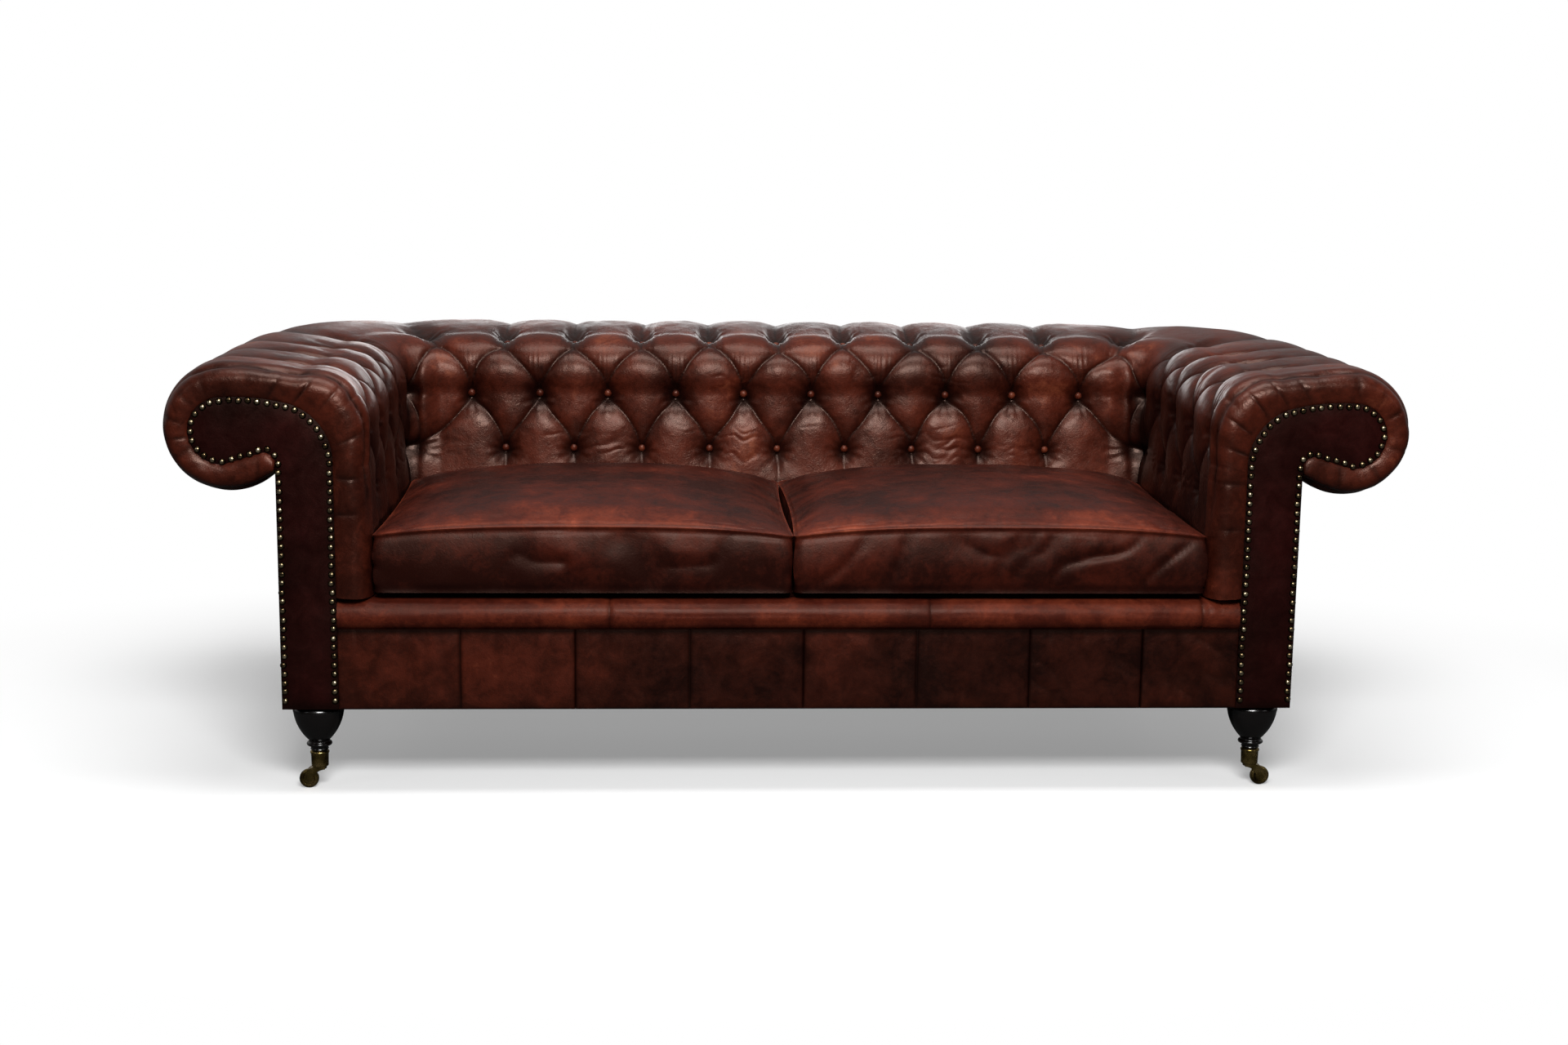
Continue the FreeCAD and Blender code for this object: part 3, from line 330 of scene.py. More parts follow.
def profile_curve(inset, rake):
    """Dense (reach, height) points from the cover's foot up the inside, over the knee and round the roll."""
    lean = [lean_at(rake, height) for height in (COVER_FOOT, LOWER_ROW, KNEE_HEIGHT)]
    diagonal = math.sqrt(0.5)
    knee_u = KNEE_RADIUS * (1 - diagonal) + inset * diagonal + 0.6 * lean[2]
    knee_z = CREST_HEIGHT - KNEE_RADIUS + (KNEE_RADIUS + 0.006) * diagonal - inset * diagonal
    radius = ROLL_RADIUS - inset
    crest = (CREST_REACH, CREST_HEIGHT - inset)
    top = roll_point(radius, 96)
    crest_top = ((crest[0] + top[0]) / 2, (crest[1] + top[1]) / 2 + 0.002)
    foot = (inset + lean[0], COVER_FOOT)
    row = (inset + lean[1], LOWER_ROW)
    bend = (inset + lean[2], KNEE_HEIGHT)
    pieces = [
        np.linspace(foot, row, 60),
        np.linspace(row, bend, 40)[1:],
        arc_points(bend, (knee_u, knee_z), crest, 80)[1:],
        arc_points(crest, crest_top, top, 60)[1:],
        arc_points(top, roll_point(radius, -20), roll_point(radius, WALL_TURN), 200)[1:],
    ]
    return np.concatenate(pieces)


def at_height(curve, lengths, height):
    """Length along the inside of the profile at which it passes a height."""
    rising = curve[:, 0] < CREST_REACH
    return float(np.interp(height, curve[rising, 1], lengths[rising]))


UPRIGHT = profile_curve(0, 0)
UPRIGHT_LENGTHS = arc_length(UPRIGHT)
PROFILE_LENGTH = UPRIGHT_LENGTHS[-1]
ROW_AT = (
    at_height(UPRIGHT, UPRIGHT_LENGTHS, LOWER_ROW),
    at_height(UPRIGHT, UPRIGHT_LENGTHS, UPPER_ROW),
    float(np.interp(CREST_REACH, UPRIGHT[:300, 0], UPRIGHT_LENGTHS[:300])),
)
ROW_GAPS = (ROW_AT[1] - ROW_AT[0], ROW_AT[2] - ROW_AT[1])
FOLD_LENGTH = 0.130


def smoothed(points):
    """Points with a short running mean along the first axis, ends kept."""
    padded = np.concatenate([points[:1]] * 3 + [points] + [points[-1:]] * 3)
    return sum(padded[shift:shift + len(points)] for shift in range(7)) / 7


def profile_at(shares, inset, rake):
    """Points and outward normals of the profile at shares of its length."""
    curve = profile_curve(inset, rake)
    lengths = arc_length(curve)
    fine = sample(curve, lengths, np.linspace(0, lengths[-1], 400))
    fine = smoothed(fine)
    fine_lengths = arc_length(fine)
    points = sample(fine, fine_lengths, shares * fine_lengths[-1])
    ahead = sample(fine, fine_lengths, np.clip(shares + 0.002, 0, 1) * fine_lengths[-1])
    behind = sample(fine, fine_lengths, np.clip(shares - 0.002, 0, 1) * fine_lengths[-1])
    return points, quarter_turned(ahead - behind)


def row_coordinate(lengths):
    """0 at the lower button row, 1 at the upper row, 2 at the crest row and on over the roll."""
    return np.interp(
        lengths,
        [ROW_AT[0] - ROW_GAPS[0], *ROW_AT, ROW_AT[2] + 4 * FOLD_LENGTH],
        [-1, 0, 1, 2, 6],
        left=-1.6,
    )


# Diamond tufting

def to_even(value):
    """Distance from the nearest even number, from 0 to 1."""
    return np.abs((value + 1) % 2 - 1)


NOTCH_START = 0.62
NOTCH_DIP = 0.0075


def crease_shift(row):
    """Shift of a crease from its even line: 0 at the lower row, 1 at the upper, 2 at the crest."""
    return np.clip(row, 0, 1) ** 1.5 + np.clip((row - 1) / NOTCH_START, 0, 1) ** 1.9


def nearest_button(line, row, line_size, lines):
    """Distance in metres to the nearest button; lines is the lowest and highest line that has one."""
    best = np.full(line.shape, 1.0)
    heights = (0.0, ROW_GAPS[0], ROW_GAPS[0] + ROW_GAPS[1])
    along = np.interp(row, [-1, 0, 1, 2, 3], [-ROW_GAPS[0], *heights, heights[2] + FOLD_LENGTH])
    for parity, height in zip((0, 1, 0), heights):
        nearest = np.round((line - parity) / 2) * 2 + parity
        low_line = lines[0] + (lines[0] + parity) % 2
        high_line = lines[1] - (lines[1] + parity) % 2
        nearest = np.clip(nearest, low_line, high_line)
        across = (line - nearest) * line_size
        best = np.minimum(best, np.hypot(across, along - height))
    return best


PILLOW = 0.0110
PIT = 0.0095
HOLLOW = 0.0075


def tuft_relief(line, row, line_size, lines, seed, edge):
    """Depth below the crown, painted shade near the creases and round the button pits, and distance to a button
    of diamond tufting.

    Creases run from each button to its four neighbours, the leather between them swells as the
    product of two quarter circles, and every button sits in a pit with a wider hollow round it.
    Over the crest the creases merge into short flat notches with pleats. The edge takes the random
    part away where two covers meet.
    """
    gap = nearest_button(line, row, line_size, lines)
    free = (1 - np.exp(-(gap / 0.032) ** 2)) * edge
    wander = smooth_noise(line * 0.9, row * 1.3, seed) - 0.5
    wander_row = smooth_noise(line * 0.8 + 9, row * 1.1, seed + 1) - 0.5
    t = line + 0.20 * wander * free
    v = row + 0.16 * wander_row * free
    shift = crease_shift(v)
    one, two = to_even(t - shift), to_even(t + shift)
    swell = (round_rise(one) * round_rise(two)) ** (1 - 0.5 * fade(row, 0.3, -0.1))
    strength = np.interp(row, [-1.2, -0.5, 0, 2, 2.5, 3.2, 4.6], [0.25, 0.38, 1, 1.1, 1.0, 0.75, 0.3])
    depth = PILLOW * (1 - swell) * strength
    deep = 1 - 0.45 * fade(row, 1.5, 1.9)
    depth = depth + deep * (PIT * np.exp(-(gap / 0.016) ** 2) + HOLLOW * np.exp(-(gap / 0.040) ** 1.5))
    notch = fade(to_even(t) * line_size, 0.026, 0.012) * bump_at(row, 2.12, 0.34)
    depth = depth + NOTCH_DIP * notch
    metres = np.minimum(one, two) * line_size * 0.9
    # Painted shade: dark along the creases, fading out over the roll.
    crease_shade = np.exp(-(metres / 0.0019) ** 1.3) * np.minimum(strength, 1) * fade(row, 3.8, 2.4)
    # Painted shade in each button's pit.
    crease_shade = np.maximum(crease_shade, 0.70 * np.exp(-(gap / 0.018) ** 2))
    pleats = np.abs(np.sin((t - np.round(t)) * np.pi * 7.0 + 3 * wander))
    at_notch = bump_at(to_even(t), 0, 0.34) * bump_at(row, 1.85, 0.30)
    above_button = bump_at(to_even(t - 1), 0, 0.26) * bump_at(row, 1.30, 0.24)
    depth = depth + 0.0026 * edge * (1 - pleats) * np.maximum(at_notch, 0.8 * above_button)
    # Painted shade in the pleats at the notches and above the upper buttons.
    crease_shade = np.maximum(crease_shade, 0.6 * (1 - pleats) ** 3 * np.maximum(at_notch, 0.7 * above_button))
    return depth, crease_shade, gap


def tension_folds(line, row, line_size, gap, seed):
    """Fine folds that fan out from the buttons and stretch marks between them, in metres."""
    angle = np.arctan2((row - np.round(row)) * ROW_GAPS[0], (line - np.round(line)) * line_size)
    petals = np.cos(angle * 9 + 5 * smooth_noise(line, row, seed + 2))
    fan_out = 0.0009 * petals * bump_at(gap, 0.022, 0.011) * fade(row, -0.5, 0.1)
    level = folds(line * 1.1, row * 9 + smooth_noise(line * 3, row, seed + 3) * 2, seed + 4)
    slack = fade(smooth_noise(line * 0.8, row * 1.5, seed + 5), 0.45, 0.75)
    around = bump_at(row, 0.12, 0.30) + 0.5 * bump_at(row, 1.2, 0.25)
    creases = 0.0022 * (1 - level) * slack * around * fade(gap, 0.018, 0.034)
    soft = 0.0035 * (layered_noise(line * 1.3, row * 1.7, seed + 6) - 0.5)
    return creases - fan_out - soft


def cover_rows():
    """Shares of the profile's length at which a tufted cover has its rows: fine where it shows."""
    ends = [(0.085, 0.009), (ROW_AT[2] + 0.10, 0.0027), (PROFILE_LENGTH, 0.0060)]
    return spaced(ends) / PROFILE_LENGTH


def corner_line(gone, row, reach):
    """Line number past the last full line: it grows to the mitre, where the creases of both sides meet."""
    total = STRAIGHT_END - BACK_LAST + reach * MITRE
    goal = LAST_LINE + 1 + np.clip(row, 0, 1)
    return LAST_LINE + (goal - LAST_LINE) * np.clip(gone / total, 0, 1)


def mitre_crease(depth, crease_shade, rows, to_mitre):
    """Adds the inner corner's crease, which runs down from the upper corner point to the seat, with painted
    shade along it.
    """
    low_part = fade(rows, 1.10, 0.85)
    depth = depth + 0.005 * np.exp(-to_mitre / 0.012) * low_part
    return depth, np.maximum(crease_shade, np.exp(-to_mitre / 0.004) * low_part)


def placed(x, y, direction, points):
    """Places of (reach, height) points, each reaching out of its centre in plan along its direction."""
    reach = CORNER_RADIUS + points[..., 0]
    return np.stack([x + reach * direction[0], y + reach * direction[1], points[..., 1]], axis=-1)


def crown_wear_and_hollow_shade(depth):
    """1 on a crown, falling to 0 at the depth that no hand rubs: the lighter crowns are rubbed wear, the darker
    hollows partly painted shade.
    """
    return 1 - np.clip(depth / UNRUBBED_SHADED_DEPTH, 0, 1)


def back_columns(station, steps):
    """X, turning angle and share of the rake of the back's columns, from the left mitre to the right."""
    turn = np.linspace(0, MITRE, steps + 1)[1:]
    ends = np.full(steps, STRAIGHT_END)
    x = np.concatenate([-ends, station, ends])
    angle = np.concatenate([-turn[::-1], np.zeros(len(station)), turn])
    return x, angle, fade(np.abs(x), STRAIGHT_END, STRAIGHT_END - CROWN_SPAN) * (angle == 0)


def blended(upright, leaning, share):
    """Rows of one profile blended into another by a share for each column."""
    share = share[None, :, None]
    return upright[:, None] * (1 - share) + leaning[:, None] * share


def back_surface():
    """Grid of the inside back: the profile carried along X, with a mitred eighth of a turn at each end.

    The profile's rows are the first axis. The columns run from the left mitre to the right one.
    """
    shares = cover_rows()
    upright, upright_normal = profile_at(shares, 0, 0)
    leaning, leaning_normal = profile_at(shares, 0, BACK_RAKE)
    row = row_coordinate(shares * PROFILE_LENGTH)[:, None]
    half = spaced([(STRAIGHT_END, 0.0032)])
    x, angle, lean = back_columns(np.concatenate([-half[:0:-1], half]), MITRE_STEPS)
    points = blended(upright, leaning, lean)
    normals = blended(upright_normal, leaning_normal, lean)
    reach = CORNER_RADIUS + upright[:, :1]
    gone = np.clip(np.abs(x) - BACK_LAST, 0, None)[None] + reach * np.abs(angle)[None]
    straight_line = np.abs(x)[None] / HALF_PITCH + 0 * row
    side = np.where(x < 0, -1, 1)[None]
    line = np.where(gone > 0, corner_line(gone, row, reach), straight_line) * side
    rows = row + 0 * line
    to_mitre = reach * (MITRE - np.abs(angle))[None] + np.clip(STRAIGHT_END - np.abs(x), 0, None)[None]
    edge = fade(to_mitre, 0.0, MITRE_FADE)
    depth, crease_shade, gap = tuft_relief(line, rows, HALF_PITCH, (-LAST_LINE - 2, LAST_LINE + 2), 11, edge)
    depth = depth + edge * tension_folds(line, rows, HALF_PITCH, gap, 21)
    depth, crease_shade = mitre_crease(depth, crease_shade, rows, to_mitre)
    grid = placed(x, CORNER_Y, (np.sin(angle), np.cos(angle)), points - normals * depth[..., None])
    return grid, {"crease_shade": crease_shade, "wear_and_shade": crown_wear_and_hollow_shade(depth)}


def back_inside():
    """Coarse grid of the inner face of the back's cover, against the foam."""
    shares = np.linspace(0, 1, 36)
    upright, _ = profile_at(shares, COVER_THICKNESS, 0)
    leaning, _ = profile_at(shares, COVER_THICKNESS, BACK_RAKE)
    x, angle, lean = back_columns(np.linspace(-STRAIGHT_END, STRAIGHT_END, 31), 4)
    return placed(x, CORNER_Y, (np.sin(angle), np.cos(angle)), blended(upright, leaning, lean))


# Outline of the arm facing

def facing_outline(grow, count=24):
    """Right facing's outline as dense (x, z) points, from its inner foot round the scroll to its outer."""
    inner = FACING_EDGE - HALF_SEAT + 0.006 - grow
    outer = WALL_REACH - 0.006 + grow
    radius = SCROLL_RADIUS + grow
    reach = SCROLL_REACH
    head = SCROLL_HEIGHT
    diagonal = math.sqrt(0.5)
    knee = (inner, KNEE_HEIGHT - 0.055)
    brow = (0.065 + 0.058, head + radius - 0.012)
    crown = (reach, head + radius)
    tip = (reach + radius, head)
    chin = (reach, head - radius)
    neck = (WALL_REACH + 0.017, head - radius + 0.021)
    turn = (outer, head - radius - 0.001)
    pieces = [
        np.linspace((inner, UNDERSIDE), knee, 2 * count),
        arc_points(knee, (inner + 0.017, KNEE_HEIGHT + 0.008 + grow * 0.7), brow, count)[1:],
        arc_points(brow, (0.065 + 0.115, head + radius - 0.001), crown, count)[1:],
        arc_points(crown, (reach + radius * diagonal, head + radius * diagonal), tip, count)[1:],
        arc_points(tip, (reach + radius * diagonal, head - radius * diagonal), chin, count)[1:],
        np.linspace(chin, neck, count // 2)[1:],
        arc_points(neck, (outer + 0.006, head - radius + 0.013), turn, count)[1:],
        np.linspace(turn, (outer, UNDERSIDE), 2 * count)[1:],
    ]
    return np.concatenate(pieces)


def facing_matches(shares):
    """Points on the facing's edge that face the given shares of the arm's profile."""
    outline = facing_outline(0.004)
    lengths = arc_length(outline)

    def length_at(u, z):
        return lengths[np.argmin(np.hypot(outline[:, 0] - u, outline[:, 1] - z))]

    def share_at(u, z):
        distance = np.hypot(UPRIGHT[:, 0] - u, UPRIGHT[:, 1] - z)
        return UPRIGHT_LENGTHS[np.argmin(distance)] / PROFILE_LENGTH

    reach, head = SCROLL_REACH, SCROLL_HEIGHT
    pairs = [
        ((0, COVER_FOOT), (0.059, COVER_FOOT)),
        ((0, 0.560), (0.059, 0.560)),
        ((0.029, 0.697), (0.082, 0.645)),
        (roll_point(ROLL_RADIUS, 90), (reach, head + 0.054)),
        (roll_point(ROLL_RADIUS, 45), (reach + 0.038, head + 0.038)),
        (roll_point(ROLL_RADIUS, 0), (reach + 0.054, head)),
        (roll_point(ROLL_RADIUS, -45), (reach + 0.038, head - 0.038)),
        (roll_point(ROLL_RADIUS, -90), (reach, head - 0.054)),
        (roll_point(ROLL_RADIUS, WALL_TURN), (WALL_REACH + 0.003, head - 0.050)),
    ]
    at = [share_at(*profile_point) for profile_point, _ in pairs]
    to = [length_at(*edge_point) for _, edge_point in pairs]
    return sample(outline, lengths, np.interp(shares, at, to))


BAND_FRONT = FRONT - 0.003
BAND_STEPS = 26


def arm_columns(station, steps):
    """Distance past the corner and turning angle of an arm's columns, from its mitre forwards."""
    turn = np.linspace(MITRE, 0, steps + 1)[:-1]
    return np.concatenate([np.zeros(steps), station]), np.concatenate([turn, np.zeros(len(station))])


def arm_places(station, angle, points):
    return placed(STRAIGHT_END, CORNER_Y - station, (np.cos(angle), np.sin(angle)), points)


def arm_surface(side, seed):
    """Grid of an inside arm: its mitred eighth of a turn, its tufted length and its rounded front band.

    The band is a quarter of an ellipse from the silhouette to its foremost line and a short return to
    the facing's edge, with short pleats fanned round the scroll and a valley behind it.
    """
    shares = cover_rows()
    points, normals = profile_at(shares, 0, 0)
    row = row_coordinate(shares * PROFILE_LENGTH)[:, None]
    reach = CORNER_RADIUS + points[:, :1]
    station, angle = arm_columns(spaced([(ARM_LENGTH - 0.04, 0.0034), (ARM_LENGTH, 0.0026)]), MITRE_STEPS)
    to_mitre = station[None] + reach * (MITRE - angle)[None]
    arm_end, back_end = ARM_LAST + reach * MITRE, STRAIGHT_END - BACK_LAST + reach * MITRE
    gone = np.clip(arm_end - to_mitre, 0, None) * back_end / arm_end
    straight_line = LAST_LINE - (station - ARM_LAST)[None] / HALF_PITCH + 0 * row
    line = np.where(station[None] < ARM_LAST, corner_line(gone, row, reach), straight_line)
    rows = row + 0 * line
    edge = fade(to_mitre, 0.0, MITRE_FADE)
    depth, crease_shade, gap = tuft_relief(line, rows, HALF_PITCH, (3, LAST_LINE + 2), seed, edge)
    depth = depth + edge * tension_folds(line, rows, HALF_PITCH, gap, seed + 40)
    sweep = folds(station[None] / 0.085 + rows * 0.8, rows * 1.4, seed + 60)
    depth = depth + 0.0018 * (1 - sweep) * bump_at(rows, 1.9, 0.9) * fade(station, 0.06, 0.14)[None]
    hold = fade(station, ARM_LENGTH + 0.010, ARM_LENGTH - 0.020)[None]
    depth = depth * (0.15 + 0.85 * hold)
    depth, crease_shade = mitre_crease(depth, crease_shade * hold, rows, to_mitre)
    grid = arm_places(station, angle, points[:, None] - normals[:, None] * depth[..., None])
    # Painted shade: the inside of the arm is darker low down and lighter towards the top.
    inner_arm_shade = 0.20 + 0.80 * fade(rows, 0.7, 1.7)
    band, band_marks = front_band(shares, grid[:, -1], normals, rows[:, :1], seed)
    grid = np.concatenate([grid, band], axis=1)
    grid[..., 0] *= side
    marks = {
        "crease_shade": np.concatenate([crease_shade, band_marks["crease_shade"]], axis=1),
        "wear_and_shade": np.concatenate([inner_arm_shade * crown_wear_and_hollow_shade(depth), band_marks["wear_and_shade"]], axis=1),
    }
    return grid, marks


def front_band(shares, start, normals, rows, seed):
    """Columns of the front band from the end of the tufted length to the facing's edge."""
    edge = facing_matches(shares)
    turn = np.linspace(0, math.pi, BAND_STEPS + 1)[1:]
    inward = 0.5 * (1 - np.cos(turn))
    first = (POST_BACK - BAND_FRONT) * np.sin(np.minimum(turn, math.pi / 2))
    back = np.where(turn > math.pi / 2, 0.010 * (1 - np.sin(turn)), 0)
    y = POST_BACK - first + back
    start_u = start[:, 0] - HALF_SEAT
    u = start_u[:, None] + (edge[:, :1] - start_u[:, None]) * inward[None]
    z = start[:, 2:3] + (edge[:, 1:] - start[:, 2:3]) * inward[None]
    length = shares[:, None] * PROFILE_LENGTH
    slant = smooth_noise(length / 0.07, length * 0, seed + 84) - 0.5
    slanted = length + 0.016 * np.sin(turn)[None] * slant
    where = slanted / 0.066 + 2.0 * smooth_noise(length / 0.12, length * 0, seed + 80)
    near = np.abs(where - np.round(where)) * 0.040
    strong = smooth_noise(np.round(where) * 3.7, length * 0 + 0.5, seed + 81)
    reachout = bump_at(turn[None], math.pi * (0.40 + 0.35 * strong), 0.80)
    pleat = np.exp(-near / 0.0024) * (0.45 + 0.55 * strong) * reachout * fade(rows, -1.4, 0.2)
    ripple = 0.0024 * (layered_noise(length / 0.03, turn[None] * 1.2, seed + 82) - 0.5)
    depth = 0.0046 * pleat - ripple * np.sin(turn)[None]
    swell = 0.0040 * np.sin(turn)[None] * (layered_noise(length / 0.12, turn[None] * 0.4, seed + 83) - 0.3)
    depth = depth - swell
    valley_at = 0.50 + 0.50 * (layered_noise(length / 0.085, length * 0, seed + 70) - 0.5)
    from_valley = np.abs(turn[None] - valley_at) * 0.040
    scallop = 0.004 + 0.008 * smooth_noise(length / 0.06, length * 0, seed + 71)
    shows = fade(rows, -0.5, 0.3) * fade(turn, 0.0, 0.2)[None]
    depth = depth + scallop * np.exp(-from_valley / 0.007) * shows
    # Painted shade along the valley behind the band.
    valley = np.exp(-from_valley / 0.0028) * shows
    share_in = np.clip(np.cos(turn), 0, 1)[None]
    u = u - normals[:, :1] * depth * share_in
    z = z - normals[:, 1:] * depth * share_in
    y = y[None] + depth * np.clip(np.sin(turn), 0, 1)[None]
    grid = np.stack([HALF_SEAT + u, y, z], axis=-1)
    # Painted shade: the tucked return, the pleats and the valley are darker.
    tuck_shade = np.clip((turn[None] - 0.86 * math.pi) / (0.14 * math.pi), 0, 1) + 0 * pleat
    crease_shade = np.maximum(np.maximum(0.9 * pleat, 0.9 * tuck_shade), valley)
    return grid, {"crease_shade": crease_shade, "wear_and_shade": 0.80 - 0.4 * pleat - 0.3 * tuck_shade - 0.2 * valley}


def arm_inside(side):
    """Coarse grid of the inner face of an arm's cover, against the foam and the front post."""
    shares = np.linspace(0, 1, 36)
    points, _ = profile_at(shares, COVER_THICKNESS, 0)
    edge = facing_matches(shares)
    station, angle = arm_columns(np.linspace(0, ARM_LENGTH, 14), 4)
    grid = arm_places(station, angle, points[:, None] + 0 * station[None, :, None])
    last = np.stack([HALF_SEAT + edge[:, 0], np.full(len(edge), POST_BACK + 0.004), edge[:, 1]], axis=1)
    front = last.copy()
    front[:, 1] = BAND_FRONT + 0.013
    grid = np.concatenate([grid, last[:, None], front[:, None]], axis=1)
    grid[..., 0] *= side
    return grid


def tufted_covers(leather):
    grid, marks = back_surface()
    back = shell("inside_back_leather", grid, back_inside(), marks)
    dress(back, leather, "root", "leather", "inside_back_cover")
    for name, side, seed in (("right", 1, 101), ("left", -1, 301)):
        grid, marks = arm_surface(side, seed)
        arm = shell(f"inside_arm_leather_{name}", grid, arm_inside(side), marks)
        dress(arm, leather, "root", "leather", f"inside_arm_cover_{name}")


# Buttons

def button_shape(centre, outward, seed):
    """Leather button: a flattened dome with a soft shoulder and faint puckers, on its seat."""
    turns, rings = 20, 8
    climb = np.linspace(0, 1, rings)[:, None]
    angles = np.linspace(0, 2 * np.pi, turns, endpoint=False)[None]
    pucker = 1 + 0.025 * np.cos(angles * 7 + seed)
    radius = 0.0088 * np.cos(climb * np.pi / 2) ** 0.75 * pucker
    radius[-1] = 0
    rise = -0.004 + 0.0105 * np.sin(climb * np.pi / 2) + 0 * angles
    outward = np.asarray(outward, float)
    side = np.cross(outward, (1, 0, 0) if abs(outward[0]) < 0.9 else (0, 1, 0))
    side /= np.linalg.norm(side)
    up = np.cross(outward, side)
    ring = (radius * np.cos(angles))[..., None] * side + (radius * np.sin(angles))[..., None] * up
    return (np.asarray(centre) + ring + rise[..., None] * outward).reshape(-1, 3), turns, rings


def joined_domes(name, domes):
    """One object of many domes given as (points, turns, rings); the last ring of each is its tip."""
    points, quads, triangles, tones = [], [], [], []
    start = 0
    for shape, turns, rings in domes:
        index = start + np.arange(turns * (rings - 1)).reshape(rings - 1, turns)
        wrapped = np.concatenate([index, index[:, :1]], axis=1)
        tip = start + turns * (rings - 1)
        base = tip + 1
        used = shape[:turns * (rings - 1)]
        points += [used, shape[-1:], shape[:turns].mean(axis=0, keepdims=True)]
        quads.append(grid_quads(wrapped))
        triangles += [fan(index[-1], tip), fan(index[0], base)]
        rise = np.repeat(np.linspace(0, 1, rings - 1), turns)
        tones.append(np.concatenate([rise, [1.0, 0.0]]))
        start = base + 1
    tones = np.concatenate(tones)
    points, quads, triangles = (np.concatenate(parts) for parts in (points, quads, triangles))
    # On the buttons the rise makes the leather darker at the rim, painted shade in the pit, and lighter on the
    # crown, rubbed wear.
    return mesh_object(name, points, quads, triangles, {"rise": tones, "wear_and_shade": 0.45 + 0.75 * tones}, 70)


BUTTON_DEPTH = 0.0245


def back_button_places():
    """Centre and outward direction of each button of the inside back."""
    lean = lean_at(BACK_RAKE, np.array([LOWER_ROW, UPPER_ROW]))
    places = []
    for line in range(-LAST_LINE, LAST_LINE + 1):
        x = line * HALF_PITCH
        if line % 2 == 0:
            places.append(((x, INSIDE_BACK + BUTTON_DEPTH + lean[0], LOWER_ROW), (0, -1, 0)))
            places.append(((x, INSIDE_BACK + CREST_REACH + 0.006, CREST_HEIGHT - BUTTON_DEPTH), (0, 0, 1)))
        else:
            places.append(((x, INSIDE_BACK + BUTTON_DEPTH + lean[1], UPPER_ROW), (0, -1, 0.1)))
    return places


def arm_button_places():
    places = []
    for line in range(3, LAST_LINE + 1):
        y = CORNER_Y - ARM_LAST - (LAST_LINE - line) * HALF_PITCH
        for side in (1, -1):
            if line % 2 == 0:
                places.append((((HALF_SEAT + BUTTON_DEPTH) * side, y, LOWER_ROW), (-side, 0, 0)))
                crest = ((HALF_SEAT + CREST_REACH) * side, y, CREST_HEIGHT - BUTTON_DEPTH)
                places.append((crest, (0, 0, 1)))
            else:
                places.append((((HALF_SEAT + BUTTON_DEPTH) * side, y, UPPER_ROW), (-side, 0, 0.1)))
    return places


def buttons(leather):
    for name, places in (("back_buttons", back_button_places()), ("arm_buttons", arm_button_places())):
        shapes = []
        for number, (centre, outward) in enumerate(places):
            outward = np.asarray(outward, float) / np.linalg.norm(outward)
            shapes.append(button_shape(centre, outward, number))
        dress(joined_domes(f"{name}_leather", shapes), leather, "root", "leather", name)


# Arm facings and their nails

def distance_to_line(points, outline):
    """Distance of each point to the nearest place on a polyline of (x, z) points."""
    start, end = outline[:-1], outline[1:]
    along = end - start
    size = (along ** 2).sum(axis=1)
    offset = points[:, None] - start[None]
    share = np.clip((offset * along[None]).sum(axis=2) / size[None], 0, 1)
    nearest = offset - along[None] * share[..., None]
    return np.hypot(nearest[..., 0], nearest[..., 1]).min(axis=1)


FACING_SWELL = 0.0035


def facing_face(distance, points, seed):
    """Front face of a facing: it swells from its nailed edge to a soft crown, with faint slack."""
    crown = FACING_SWELL * (1 - np.exp(-distance / 0.016))
    slack = 0.0012 * (layered_noise(points[:, 0] / 0.05, points[:, 1] / 0.09, seed) - 0.5)
    return FRONT + 0.0035 - crown - slack * fade(distance, 0.004, 0.02)


def open_edges(faces):
    """Edges that only one of the triangles uses."""
    uses = {}
    for face in faces:
        for a, b in zip(face, np.roll(face, -1)):
            key = (min(a, b), max(a, b))
            uses[key] = uses.get(key, 0) + 1
    return np.array([key for key, times in uses.items() if times == 1])


FACING_LATTICE = 0.0075
FACING_GROWTH = 0.006


